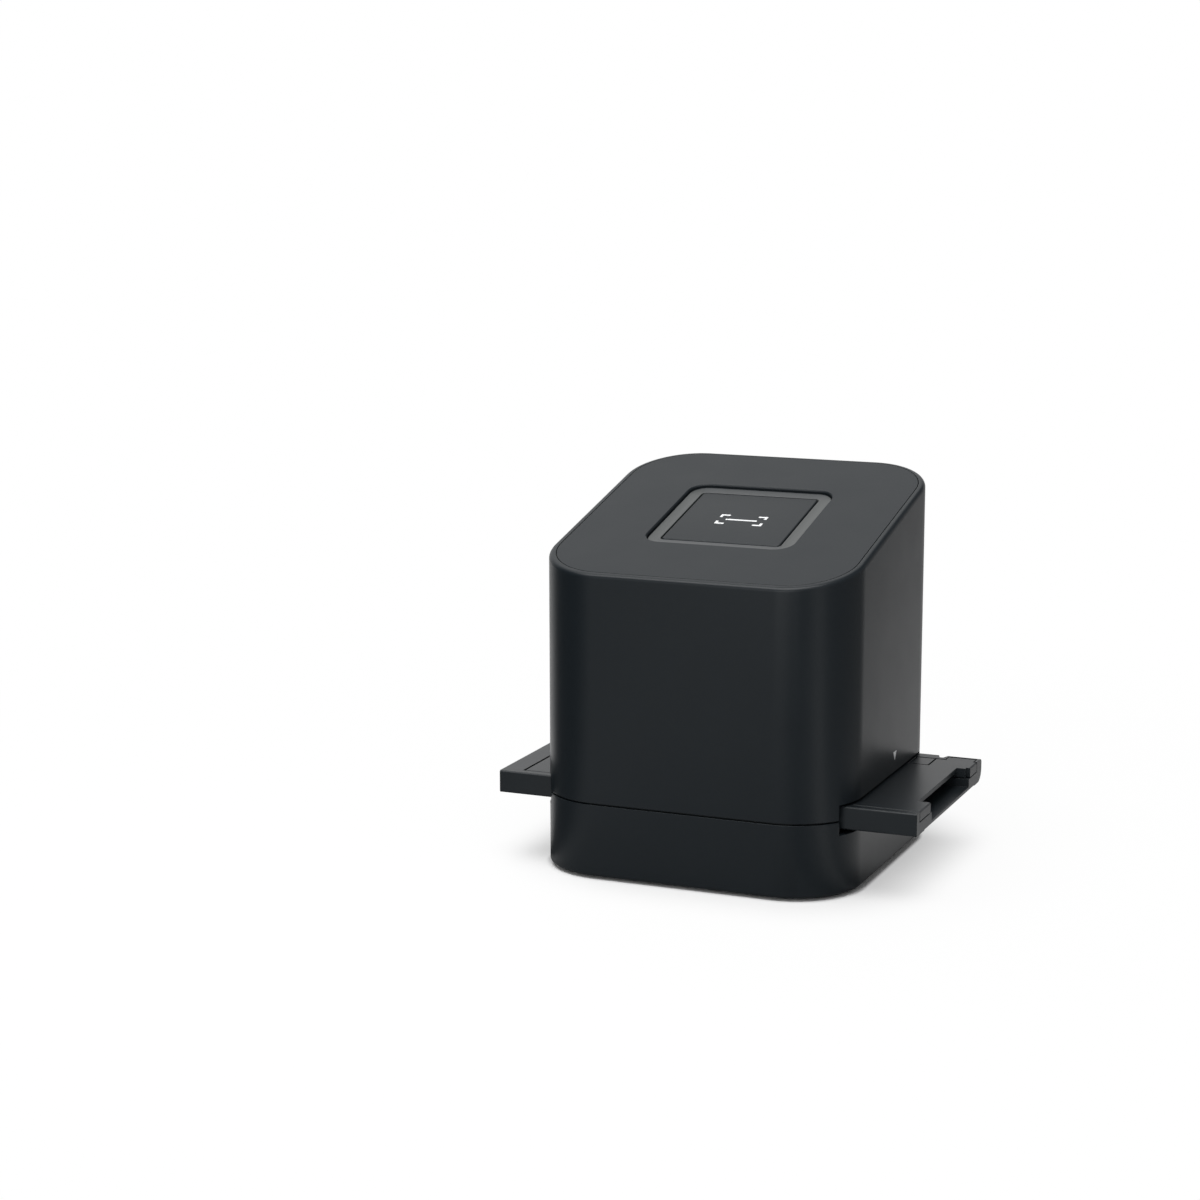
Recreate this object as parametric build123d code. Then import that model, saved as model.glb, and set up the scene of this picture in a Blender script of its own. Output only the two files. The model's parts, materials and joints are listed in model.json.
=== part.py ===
from build123d import *
import os
from math import cos, radians, sin, tan

# Compact scanner for 35 mm film. Millimetres, +Z up. The origin is the centre of the case's
# footprint, on the surface that the feet stand on. The sloped top faces -Y and the film
# holder slides through the case along X.

# Case: outside, walls and parting line
CASE_WIDTH = 86.0
CASE_DEPTH = 87.0
CASE_REAR_HEIGHT = 101.3  # underside to the sharp edge of top and rear wall
TOP_SLOPE = 13.6  # degrees
CORNER_RADIUS = 18.5
WALL = 2.2
TOP_EDGE_ROUND = 1.2
UNDERSIDE_ROUND = 0.8
BASE_HEIGHT = 19.5  # underside to the middle of the parting line
PARTING_GAP = 0.5
TONGUE_THICK = 1.0
TONGUE_HEIGHT = 2.4
MOULD_GAP = 0.1  # between moulded pieces that sit in each other

# Top panel in its rim
RIM_WIDTH = 1.8
PANEL_GAP = 0.2
PANEL_THICK = 2.0
LEDGE_WIDTH = 3.0
LEDGE_THICK = 1.8
HOOK_WIDTH = 6.0
HOOK_THICK = 1.4
HOOK_REACH = 1.0
HOOK_HEIGHT = 1.2
HOOK_SPREAD = 44.0

# Feet
FOOT_RADIUS = 4.5
FOOT_PROUD = 0.8
FOOT_SEAT = 0.8
FOOT_FROM_SIDE = 15.0
FOOT_FROM_END = 14.5

# Screws: shank, head and the room round them
CASE_SCREW_RADIUS = 1.2
CASE_SCREW_LENGTH = 18.0
CASE_HEAD_RADIUS = 2.3
CASE_HEAD_HEIGHT = 1.6
SMALL_SCREW_RADIUS = 0.9
SMALL_SCREW_GRIP = 4.0  # length in the post
SMALL_HEAD_RADIUS = 1.7
SMALL_HEAD_HEIGHT = 1.1
THREAD_GAP = 0.05
SCREW_CLEARANCE = 0.2
PILOT_RUNOUT = 1.0
DRIVE_WIDTH = 0.5  # cross recess of a head
DRIVE_DEPTH = 0.7
DRIVE_MARGIN = 0.6

# Bosses that hold base and upper shell together
BOSS_RADIUS = 3.3
BOSS_SINK = 0.2  # into the wall beside it
BOSS_FROM_SIDE = 17.0
BOSS_GRIP = 11.0  # of the base's boss between the head and the parting line
UPPER_BOSS_HEIGHT = 14.0
POST_RADIUS = 2.4

# Film holder
HOLDER_LEFT_REACH = 13.0  # past the left wall
HOLDER_RIGHT_REACH = 17.0
HOLDER_FRONT_INSET = 10.5  # behind the front of the case
HOLDER_REAR_INSET = 14.2
HOLDER_LIFT = 17.05  # above the underside of the case
HOLDER_THICK = 6.0
HOLDER_EDGE = 0.3  # bevel of the front edges
HOLDER_REAR_ROUND = 1.2  # upper rear edge
HOLDER_BELLY_ROUND = 3.4  # lower rear edge
HOLDER_END_BLOCK = 5.8
HOLDER_LOWER = 3.2  # height of the frame beside the film
FRONT_RAIL = 2.3
REAR_RAIL = 4.7
FLOOR_RAISE = 0.2
FLOOR_THICK = 0.8
FLOOR_SIDE = 7.0  # from the holder's edge to the raised floor
COVER_GAP = 0.35
COVER_SEAT = 0.3
COVER_PLATE = 1.2
COVER_EDGE = 0.3
END_NOTCH = 3.4
END_NOTCH_SIDE = 1.2  # past the film on each side
MARK_RECESS = 0.5
MARK_GROOVE = 0.5
MARK_LENGTH = 5.9
MARK_WIDTH = 8.0
MARK_FROM_END = 11.1
FILM_WIDTH = 35.0
FILM_SIDE_GAP = 0.45
FILM_SLIT = 0.4
FRAME_LONG = 36.0
FRAME_SHORT = 24.0
GATE_LIP = 2.0
OPTIC_Y = -1.5  # middle of the film and of the lens

# Lid hinge and click notches on the rear rail
PIN_RADIUS = 0.6
PIN_FIT = 0.03
PIN_END = 0.5
PIN_FROM_REAR = 3.1
PIN_DROP = 1.4
LEAF_LENGTH = 7.5
LEAF_REACH = 1.6  # behind the pin
LEAF_SWING_GAP = 0.1
LEAF_SIDE_GAP = 0.3
RIGHT_LEAF_FROM_END = 4.75
LEFT_LEAF_FROM_END = 20.0
NOTCH_PITCH = 49.6
NOTCH_WIDTH = 3.2  # at the edge
NOTCH_FLOOR = 1.0
NOTCH_DEPTH = 3.2
SPRING_THICK = 0.35
SPRING_HEIGHT = 3.0
SPRING_GAP = 0.2
SPRING_NOSE = 1.4  # into the notch
SPRING_ARM = 13.0
SPRING_TAB = 3.5
SPRING_POST = 1.2

# Slot round the holder
SLOT_BELOW = 1.3
SLOT_ABOVE = 0.7
SLOT_FRONT = 1.9
SLOT_REAR = 1.9

# Deck under the holder
DECK_GAP = 0.3
DECK_THICK = 2.7
DECK_SIDE_GAP = 1.8
DECK_CORNER = 12.0
DECK_POST_FROM_SIDE = 6.0
DECK_POST_FROM_END = 12.0
GUIDE_GAP = 0.35
GUIDE_THICK = 1.0
GUIDE_SPAN = 52.0
HEAD_SINK = 0.2  # screw heads below the deck's face

# Lamp
APERTURE_LONG = 42.0
APERTURE_SHORT = 30.0
DIFFUSER_MARGIN = 2.0
DIFFUSER_GAP = 0.2
DIFFUSER_THICK = 2.0
LIGHT_BOX_FLANGE = 2.5
LIGHT_BOX_RIM = 1.5
LIGHT_BOX_WALL = 1.5
LIGHT_BOX_TAPER = 3.0  # each side, top to bottom
BOARD_THICK = 1.6
LAMP_STANDOFF = 3.0
LAMP_BOARD_MARGIN = 6.0
LAMP_BOARD_CORNER = 3.0
LAMP_POST_FROM_SIDE = 3.0
LAMP_POST_FROM_END = 9.0
LED_LONG = 3.5
LED_SHORT = 2.8
LED_HEIGHT = 0.8
LED_PITCH_X = 12.0
LED_PITCH_Y = 10.0
LED_COLUMNS = 3
LED_ROWS = 2

# Optics above the holder
GATE_GAP = 0.5
GATE_MARGIN = 1.0  # gate to film frame
OPTIC_PLATE = 2.0
OPTIC_PLATE_WIDTH = 56.0
OPTIC_BOSS_GAP = 3.9  # plate to the bosses of the case
OPTIC_STRAP_GAP = 1.0
OPTIC_RIBBON_GAP = 2.5  # strap to the lamp's ribbon
OPTIC_POST_INSET = 3.0
BAFFLE_HEIGHT = 16.0
BAFFLE_WALL = 1.5
BAFFLE_LID = 2.5
BAFFLE_FOOT = 5.0
BAFFLE_TOP = 22.0
BAFFLE_TAB = 5.5
LENS_RADIUS = 6.0
LENS_BORE = 4.2
LENS_GAP = 0.05
LENS_LENGTH = 10.0
LENS_HANG = 3.0  # below the lens holder
GLASS_SEAT = 0.6
GLASS_EDGE = 1.0
GLASS_CROWN = 0.8
LENS_HOLDER_HEIGHT = 11.0
LENS_HOLDER_SIDE = 18.0
LENS_EAR_X = 13.0
SENSOR_SIDE = 8.0
SENSOR_HEIGHT = 1.2
SENSOR_ROOM = 0.8
SENSOR_BOARD_LONG = 34.0
SENSOR_BOARD_SHORT = 26.0

# Main board and its socket
MAIN_STANDOFF = 5.3
MAIN_FROM_SIDE = 13.0
MAIN_BOSS_GAP = 2.25  # above the upper bosses
MAIN_TOP_GAP = 20.0  # below the top panel
MAIN_POST_INSET = 4.0
USB_WIDTH = 7.7
USB_HEIGHT = 3.9
USB_SHELL = 0.4
USB_TONGUE = 1.0
USB_GAP = 0.4
USB_SINK = 0.2
USB_LIFT = 10.0  # above the lower edge of the main board
USB_ROUND = 0.8

# Chips of the main board: lengths along X and Z, then X and the height above the board's lower edge
CHIP_HEIGHT = 1.4
CHIPS = [(14.0, 9.0, 16.0, 19.5), (9.0, 9.0, -17.0, 10.6), (6.0, 5.0, 16.0, 11.0)]

# Button, its ring and its board, in the frame of the sloped top
WELL_SIDE = 41.0
WELL_CORNER = 5.0
WELL_EDGE = 0.3
RING_GAP = 0.3
RING_WIDTH = 3.35
RING_DROP = 0.85
RING_DISH = 0.1
RING_DEPTH = 4.5
RING_FLANGE = 1.8
RING_FLANGE_THICK = 1.4
RING_LEG_THICK = 1.6
RING_LEG_WIDTH = 6.0
BUTTON_CORNER = 1.0
BUTTON_GAP = 0.4
BUTTON_DROP = 0.9
BUTTON_THICK = 2.3
BUTTON_EDGE = 0.4
BUTTON_SKIRT = 1.3
BUTTON_FLANGE = 1.0
BUTTON_FLANGE_THICK = 1.2
BUTTON_STEM = 2.6
BUTTON_RIB = 1.2
BUTTON_TRAVEL = 0.6
BUTTON_BOARD_DEPTH = 12.0
BUTTON_BOARD_THICK = 1.2
BUTTON_BOARD_LONG = 60.0
BUTTON_BOARD_SHORT = 34.0
BUTTON_POST_INSET = 4.0
SWITCH_SIDE = 6.0
SWITCH_HEIGHT = 3.5
PLUNGER_RADIUS = 1.7
PLUNGER_GAP = 0.1
PLUNGER_PROUD = 1.5
PLUNGER_SUNK = 1.6
LEG_LED_GAP = 0.3

# Flat ribbon cables
RIBBON_THICK = 0.3
RIBBON_BEND = 4.0
SENSOR_RIBBON_WIDTH = 12.0
BUTTON_RIBBON_WIDTH = 6.0
LAMP_RIBBON_WIDTH = 6.0
CONNECTOR_SIDE = 1.0  # past the ribbon on each side
CONNECTOR_LENGTH = 3.5
CONNECTOR_HEIGHT = 2.0
SOCKET_GAP = 0.8  # beside a screw head or another socket
LAMP_SOCKET_LIFT = 2.0  # above the lower edge of the main board
SENSOR_RIBBON_DROP = 6.0  # from the ribbon's bend to its socket on the main board
BUTTON_RIBBON_DROP = 12.0

# Heights
SLOPE = radians(TOP_SLOPE)
CASE_Z = FOOT_PROUD
FLOOR_Z = CASE_Z + WALL
BASE_TOP_Z = CASE_Z + BASE_HEIGHT - PARTING_GAP / 2
UPPER_LOW_Z = CASE_Z + BASE_HEIGHT + PARTING_GAP / 2
TONGUE_TOP_Z = UPPER_LOW_Z + TONGUE_HEIGHT
REAR_TOP_Z = CASE_Z + CASE_REAR_HEIGHT
TOP_MIDDLE_Z = REAR_TOP_Z - CASE_DEPTH / 2 * tan(SLOPE)
HOLDER_Z = CASE_Z + HOLDER_LIFT
HOLDER_TOP_Z = HOLDER_Z + HOLDER_THICK
LOWER_TOP_Z = HOLDER_Z + HOLDER_LOWER
FILM_Z = HOLDER_Z + FLOOR_RAISE + FLOOR_THICK
DECK_TOP_Z = HOLDER_Z - DECK_GAP
DECK_Z = DECK_TOP_Z - DECK_THICK
LAMP_BOARD_Z = FLOOR_Z + LAMP_STANDOFF
LAMP_TOP_Z = LAMP_BOARD_Z + BOARD_THICK
GATE_Z = HOLDER_TOP_Z + GATE_GAP
OPTIC_TOP_Z = GATE_Z + OPTIC_PLATE
BAFFLE_TOP_Z = OPTIC_TOP_Z + BAFFLE_HEIGHT
SENSOR_BOARD_Z = BAFFLE_TOP_Z + LENS_HOLDER_HEIGHT
SENSOR_TOP_Z = SENSOR_BOARD_Z + BOARD_THICK
MAIN_Z = UPPER_LOW_Z + UPPER_BOSS_HEIGHT + MAIN_BOSS_GAP
BOSS_SEAT_Z = BASE_TOP_Z - BOSS_GRIP

# Places along X and Y
INNER_X = CASE_WIDTH / 2 - WALL
INNER_Y = CASE_DEPTH / 2 - WALL
BOSS_X = CASE_WIDTH / 2 - BOSS_FROM_SIDE
BOSS_Y = INNER_Y - BOSS_RADIUS + BOSS_SINK
FOOT_X = CASE_WIDTH / 2 - FOOT_FROM_SIDE
FOOT_Y = CASE_DEPTH / 2 - FOOT_FROM_END
HOLDER_LEFT = -CASE_WIDTH / 2 - HOLDER_LEFT_REACH
HOLDER_RIGHT = CASE_WIDTH / 2 + HOLDER_RIGHT_REACH
HOLDER_FRONT = -CASE_DEPTH / 2 + HOLDER_FRONT_INSET
HOLDER_REAR = CASE_DEPTH / 2 - HOLDER_REAR_INSET
BAY_LEFT = HOLDER_LEFT + HOLDER_END_BLOCK
BAY_FRONT = HOLDER_FRONT + FRONT_RAIL
BAY_REAR = HOLDER_REAR - REAR_RAIL
FILM_HALF = FILM_WIDTH / 2 + FILM_SIDE_GAP
PIN_Y = HOLDER_REAR - PIN_FROM_REAR
PIN_Z = HOLDER_TOP_Z - PIN_DROP
LEAF_MIDDLES = [HOLDER_RIGHT - RIGHT_LEAF_FROM_END, HOLDER_LEFT + LEFT_LEAF_FROM_END]
DECK_HALF_X = INNER_X - DECK_SIDE_GAP
DECK_FRONT = HOLDER_FRONT - GUIDE_GAP - GUIDE_THICK
GUIDE_REAR = HOLDER_REAR + GUIDE_GAP
SPRING_Y = GUIDE_REAR + GUIDE_THICK + MOULD_GAP
SPRING_POST_Y = SPRING_Y + SPRING_THICK + MOULD_GAP
DECK_REAR = SPRING_POST_Y + SPRING_POST
DECK_POST_X = DECK_HALF_X - DECK_POST_FROM_SIDE
DECK_POST_YS = [DECK_FRONT + DECK_POST_FROM_END, DECK_REAR - DECK_POST_FROM_END]
LAMP_BOARD_X = APERTURE_LONG / 2 + LAMP_BOARD_MARGIN
LAMP_BOARD_Y = APERTURE_SHORT / 2 + LAMP_BOARD_MARGIN
MAIN_REAR_Y = INNER_Y - MAIN_STANDOFF
MAIN_FRONT_Y = MAIN_REAR_Y - BOARD_THICK
MAIN_HALF_X = CASE_WIDTH / 2 - MAIN_FROM_SIDE
MAIN_POST_X = MAIN_HALF_X - MAIN_POST_INSET
LAMP_SOCKET_HALF = LAMP_RIBBON_WIDTH / 2 + CONNECTOR_SIDE
SENSOR_SOCKET_HALF = SENSOR_RIBBON_WIDTH / 2 + CONNECTOR_SIDE
BUTTON_SOCKET_HALF = BUTTON_RIBBON_WIDTH / 2 + CONNECTOR_SIDE
LAMP_SOCKET_X = MAIN_POST_X - SMALL_HEAD_RADIUS - SOCKET_GAP - LAMP_SOCKET_HALF
BUTTON_SOCKET_X = -SENSOR_SOCKET_HALF - SOCKET_GAP - BUTTON_SOCKET_HALF
OPTIC_PLATE_Y = BOSS_Y - BOSS_RADIUS - OPTIC_BOSS_GAP
OPTIC_STRAP_X = LAMP_SOCKET_X - LAMP_RIBBON_WIDTH / 2 - OPTIC_RIBBON_GAP
OPTIC_POST_X = OPTIC_STRAP_X - OPTIC_POST_INSET
OPTIC_POST_Y = INNER_Y - OPTIC_STRAP_GAP - POST_RADIUS
BUTTON_SIDE = WELL_SIDE - 2 * (RING_GAP + RING_WIDTH + BUTTON_GAP)
RING_OUTER = WELL_SIDE - 2 * RING_GAP
RING_INNER = BUTTON_SIDE + 2 * BUTTON_GAP
BUTTON_POST_X = BUTTON_BOARD_LONG / 2 - BUTTON_POST_INSET
BUTTON_POST_Y = BUTTON_BOARD_SHORT / 2 - BUTTON_POST_INSET
RING_LEG_X = RING_OUTER / 2 - RING_LEG_THICK / 2
SWITCH_TOP_DEPTH = BUTTON_BOARD_DEPTH - SWITCH_HEIGHT
PLUNGER_TOP_DEPTH = SWITCH_TOP_DEPTH - PLUNGER_PROUD
BUTTON_UNDER_DEPTH = BUTTON_DROP + BUTTON_THICK
BUTTON_BOARD_UNDER = BUTTON_BOARD_DEPTH + BUTTON_BOARD_THICK
RIBBON_Y = MAIN_FRONT_Y - CONNECTOR_HEIGHT / 2
MAIN_TOP_Z = TOP_MIDDLE_Z + MAIN_FRONT_Y * tan(SLOPE) - PANEL_THICK / cos(SLOPE) - MAIN_TOP_GAP

# The frame of the sloped top: X along the case, Y up the slope, Z out of it
TOP = Plane(
    origin=(0, 0, TOP_MIDDLE_Z),
    x_dir=(1, 0, 0),
    z_dir=(0, -sin(SLOPE), cos(SLOPE)),
).location
FAR = 2 * (CASE_WIDTH + CASE_DEPTH + CASE_REAR_HEIGHT)


def corners(x, y, middle_y=0.0):
    """The four points at plus and minus x and y round a middle."""
    return [(sx * x, middle_y + sy * y) for sx in (-1, 1) for sy in (-1, 1)]


def block(x_low, x_high, y_low, y_high, z_low, z_high):
    """A square block between two corners."""
    middle = Pos((x_low + x_high) / 2, (y_low + y_high) / 2, (z_low + z_high) / 2)
    return middle * Box(x_high - x_low, y_high - y_low, z_high - z_low)


def plate(size_x, size_y, radius, z_low, z_high, middle_y=0.0):
    """An upright prism with round corners in plan."""
    return Pos(0, middle_y, z_low) * extrude(RectangleRounded(size_x, size_y, radius), z_high - z_low)


def rod(radius, z_low, z_high, x=0.0, y=0.0):
    """An upright cylinder."""
    return Pos(x, y, (z_low + z_high) / 2) * Cylinder(radius, z_high - z_low)


def rod_y(radius, y_low, y_high, x, z):
    """A cylinder along Y."""
    return Pos(x, (y_low + y_high) / 2, z) * Rot(90, 0, 0) * Cylinder(radius, y_high - y_low)


def rod_x(radius, x_low, x_high, y, z):
    """A cylinder along X."""
    return Pos((x_low + x_high) / 2, y, z) * Rot(0, 90, 0) * Cylinder(radius, x_high - x_low)


def case_prism(inset, z_low, z_high):
    """The case's outline in plan, drawn in by an inset, as an upright prism."""
    size_x = CASE_WIDTH - 2 * inset
    size_y = CASE_DEPTH - 2 * inset
    return plate(size_x, size_y, CORNER_RADIUS - inset, z_low, z_high)


def over_top(depth):
    """All space over a plane that lies a depth under the sloped top."""
    return TOP * Pos(0, 0, FAR / 2 - depth) * Box(FAR, FAR, FAR)


def under_top(depth):
    """All space below a plane that lies a depth under the sloped top."""
    return TOP * Pos(0, 0, -FAR / 2 - depth) * Box(FAR, FAR, FAR)


def square_funnel(side, corner, flare, depth, top):
    """A square with round corners that widens by a flare on each side up to its top."""
    low = Pos(0, 0, top - depth) * RectangleRounded(side, side, corner)
    high = Pos(0, 0, top) * RectangleRounded(side + 2 * flare, side + 2 * flare, corner + flare)
    return loft([low, high])


def holder_slot():
    """The room for the film holder, right through both side walls."""
    front = HOLDER_FRONT - SLOT_FRONT
    rear = HOLDER_REAR + SLOT_REAR
    return block(-CASE_WIDTH, CASE_WIDTH, front, rear, HOLDER_Z - SLOT_BELOW, HOLDER_TOP_Z + SLOT_ABOVE)


def screw(radius, length, head_radius, head_height):
    """A screw along -Z with its head's seat at the origin and a cross recess in the head."""
    slot = 2 * (head_radius - DRIVE_MARGIN)
    cross = Box(slot, DRIVE_WIDTH, DRIVE_DEPTH) + Box(DRIVE_WIDTH, slot, DRIVE_DEPTH)
    body = rod(radius, -length, 0) + rod(head_radius, 0, head_height)
    return body - Pos(0, 0, head_height - DRIVE_DEPTH / 2) * cross


def small_screw(through):
    """A small screw that goes through a thickness and on into a post."""
    return screw(SMALL_SCREW_RADIUS, through + SMALL_SCREW_GRIP, SMALL_HEAD_RADIUS, SMALL_HEAD_HEIGHT)


def post(x, y, z_low, z_high, pilot_depth):
    """A screw post that stands on something, with its pilot hole from the top."""
    pilot = rod(SMALL_SCREW_RADIUS + THREAD_GAP, z_high - pilot_depth, z_high, x, y)
    return rod(POST_RADIUS, z_low, z_high, x, y) - pilot


def screw_hole(x, y, z_low, z_high):
    """A clearance hole for a small screw."""
    return rod(SMALL_SCREW_RADIUS + SCREW_CLEARANCE, z_low, z_high, x, y)


def group(pieces):
    """Separate solids in one node."""
    return Part() + list(pieces)


def base_shell():
    shell = case_prism(0, CASE_Z, BASE_TOP_Z)
    shell = fillet(shell.edges().group_by(Axis.Z)[0], UNDERSIDE_ROUND)
    shell += case_prism(WALL - TONGUE_THICK, FLOOR_Z, TONGUE_TOP_Z)
    shell -= case_prism(WALL, FLOOR_Z, TONGUE_TOP_Z)
    shell -= holder_slot()
    for x, y in corners(BOSS_X, BOSS_Y):
        shell += rod(BOSS_RADIUS, CASE_Z + UNDERSIDE_ROUND, BASE_TOP_Z, x, y)
        shell -= rod(CASE_SCREW_RADIUS + SCREW_CLEARANCE, CASE_Z, BASE_TOP_Z, x, y)
        shell -= rod(CASE_HEAD_RADIUS + SCREW_CLEARANCE, CASE_Z, BOSS_SEAT_Z, x, y)
    pilot_depth = SMALL_SCREW_GRIP + PILOT_RUNOUT
    for x, y in deck_posts():
        shell += post(x, y, FLOOR_Z, DECK_Z, pilot_depth)
    for x, y in lamp_posts():
        shell += post(x, y, FLOOR_Z, LAMP_BOARD_Z, LAMP_STANDOFF)
    for x, y in corners(OPTIC_POST_X, OPTIC_POST_Y):
        shell += post(x, y, FLOOR_Z, GATE_Z, pilot_depth)
    for x, y in corners(FOOT_X, FOOT_Y):
        shell -= rod(FOOT_RADIUS + MOULD_GAP, CASE_Z, CASE_Z + FOOT_SEAT, x, y)
    return shell


def upper_shell():
    shell = case_prism(0, UPPER_LOW_Z, FAR) - over_top(0)
    shell = fillet(shell.faces().sort_by(Axis.Z)[-1].edges(), TOP_EDGE_ROUND)
    shell -= case_prism(WALL, UPPER_LOW_Z, FAR) - over_top(PANEL_THICK + LEDGE_THICK)
    shell -= case_prism(RIM_WIDTH, UPPER_LOW_Z, FAR) - under_top(PANEL_THICK)
    shell -= case_prism(RIM_WIDTH + LEDGE_WIDTH, UPPER_LOW_Z, FAR)
    shell -= holder_slot()
    for x, y in corners(BOSS_X, BOSS_Y):
        shell += rod(BOSS_RADIUS, UPPER_LOW_Z, UPPER_LOW_Z + UPPER_BOSS_HEIGHT, x, y)
        pilot_top = BOSS_SEAT_Z + CASE_SCREW_LENGTH + PILOT_RUNOUT
        shell -= rod(CASE_SCREW_RADIUS + THREAD_GAP, UPPER_LOW_Z, pilot_top, x, y)
    lap = WALL - TONGUE_THICK - MOULD_GAP
    tongue_room = case_prism(lap, UPPER_LOW_Z, TONGUE_TOP_Z + MOULD_GAP)
    shell -= tongue_room - case_prism(WALL + MOULD_GAP, UPPER_LOW_Z, TONGUE_TOP_Z + MOULD_GAP)
    for x, z in main_posts():
        boss = rod_y(POST_RADIUS, MAIN_REAR_Y, INNER_Y + BOSS_SINK, x, z)
        pilot_end = MAIN_REAR_Y + SMALL_SCREW_GRIP + PILOT_RUNOUT
        shell += boss - rod_y(SMALL_SCREW_RADIUS + THREAD_GAP, MAIN_REAR_Y, pilot_end, x, z)
    hole = RectangleRounded(USB_WIDTH + 2 * USB_GAP, USB_HEIGHT + 2 * USB_GAP, USB_ROUND + USB_GAP)
    shell -= Pos(0, CASE_DEPTH / 2, usb_z()) * Rot(90, 0, 0) * extrude(hole, WALL)
    return shell


def top_panel():
    panel = case_prism(RIM_WIDTH + PANEL_GAP, UPPER_LOW_Z, FAR) - over_top(0) - under_top(PANEL_THICK)
    well = plate(WELL_SIDE, WELL_SIDE, WELL_CORNER, -PANEL_THICK, 0)
    panel -= TOP * (well + square_funnel(WELL_SIDE, WELL_CORNER, WELL_EDGE, WELL_EDGE, 0))
    for x, y in corners(BUTTON_POST_X, BUTTON_POST_Y):
        panel += TOP * hanging_post(x, y, PANEL_THICK, BUTTON_BOARD_DEPTH)
    opening = CASE_WIDTH / 2 - RIM_WIDTH - LEDGE_WIDTH
    for side in (-1, 1):
        for y in (-HOOK_SPREAD / 2, HOOK_SPREAD / 2):
            panel += TOP * panel_hook(side, opening, y)
    return panel


def panel_hook(side, opening, y):
    """A snap hook under the panel: a leg inside the ledge and a barb below it."""
    under = PANEL_THICK + LEDGE_THICK + MOULD_GAP
    outer = opening - MOULD_GAP
    foot = -under - HOOK_HEIGHT
    leg = block(outer - HOOK_THICK, outer, y - HOOK_WIDTH / 2, y + HOOK_WIDTH / 2, foot, -PANEL_THICK)
    barb = block(outer, outer + HOOK_REACH, y - HOOK_WIDTH / 2, y + HOOK_WIDTH / 2, foot, -under)
    hook = leg + barb
    return hook if side > 0 else mirror(hook, about=Plane.YZ)


def hanging_post(x, y, depth_from, depth_to):
    """A screw post that hangs below the sloped top, with its pilot hole from below."""
    pilot_end = -depth_to + SMALL_SCREW_GRIP + PILOT_RUNOUT
    pilot = rod(SMALL_SCREW_RADIUS + THREAD_GAP, -depth_to, pilot_end, x, y)
    return rod(POST_RADIUS, -depth_to, -depth_from, x, y) - pilot


def light_ring():
    ring = plate(RING_OUTER, RING_OUTER, WELL_CORNER - RING_GAP, -RING_DEPTH, -RING_DROP)
    flange_side = RING_OUTER + 2 * RING_FLANGE
    flange_corner = WELL_CORNER - RING_GAP + RING_FLANGE
    flange_low = -PANEL_THICK - RING_FLANGE_THICK
    ring += plate(flange_side, flange_side, flange_corner, flange_low, -PANEL_THICK)
    corner = BUTTON_CORNER + BUTTON_GAP
    ring -= square_funnel(RING_INNER, corner, RING_WIDTH, RING_DISH, -RING_DROP)
    ring -= plate(RING_INNER, RING_INNER, corner, -RING_DEPTH, 0)
    foot = -BUTTON_BOARD_DEPTH + LED_HEIGHT + LEG_LED_GAP
    for side in (-1, 1):
        inner = side * RING_LEG_X - RING_LEG_THICK / 2
        half = RING_LEG_WIDTH / 2
        ring += block(inner, inner + RING_LEG_THICK, -half, half, foot, -RING_DEPTH)
    return TOP * ring


def scan_button():
    cap = plate(BUTTON_SIDE, BUTTON_SIDE, BUTTON_CORNER, -BUTTON_UNDER_DEPTH, -BUTTON_DROP)
    cap = fillet(cap.edges().group_by(Axis.Z)[-1], BUTTON_EDGE)
    flange_top = -RING_DEPTH - BUTTON_GAP
    flange_low = flange_top - BUTTON_FLANGE_THICK
    skirt_side = BUTTON_SIDE - 2 * BUTTON_SKIRT
    skirt = plate(BUTTON_SIDE, BUTTON_SIDE, BUTTON_CORNER, flange_low, -BUTTON_UNDER_DEPTH)
    flange_side = BUTTON_SIDE + 2 * BUTTON_FLANGE
    skirt += plate(flange_side, flange_side, BUTTON_CORNER + BUTTON_FLANGE, flange_low, flange_top)
    skirt -= plate(skirt_side, skirt_side, BUTTON_CORNER, flange_low, -BUTTON_UNDER_DEPTH)
    stem = rod(BUTTON_STEM, -PLUNGER_TOP_DEPTH, -BUTTON_UNDER_DEPTH)
    reach = skirt_side / 2
    half = BUTTON_RIB / 2
    rib = block(-reach, reach, -half, half, flange_top, -BUTTON_UNDER_DEPTH)
    ribs = rib + Rot(0, 0, 90) * rib
    return TOP * (cap + skirt + stem + ribs)


def switch_plunger():
    return TOP * rod(PLUNGER_RADIUS, -SWITCH_TOP_DEPTH - PLUNGER_SUNK, -PLUNGER_TOP_DEPTH)


def tact_switch():
    half = SWITCH_SIDE / 2
    body = block(-half, half, -half, half, -BUTTON_BOARD_DEPTH, -SWITCH_TOP_DEPTH)
    floor = SWITCH_TOP_DEPTH + PLUNGER_SUNK + BUTTON_TRAVEL + PLUNGER_GAP
    return TOP * (body - rod(PLUNGER_RADIUS + PLUNGER_GAP, -floor, -SWITCH_TOP_DEPTH))


def button_board():
    low = -BUTTON_BOARD_UNDER
    board = plate(BUTTON_BOARD_LONG, BUTTON_BOARD_SHORT, BUTTON_CORNER, low, -BUTTON_BOARD_DEPTH)
    for x, y in corners(BUTTON_POST_X, BUTTON_POST_Y):
        board -= screw_hole(x, y, low, -BUTTON_BOARD_DEPTH)
    return TOP * board


def button_board_screws():
    one = Pos(0, 0, -BUTTON_BOARD_UNDER) * Rot(180, 0, 0) * small_screw(BUTTON_BOARD_THICK)
    return group(TOP * Pos(x, y) * one for x, y in corners(BUTTON_POST_X, BUTTON_POST_Y))


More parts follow.
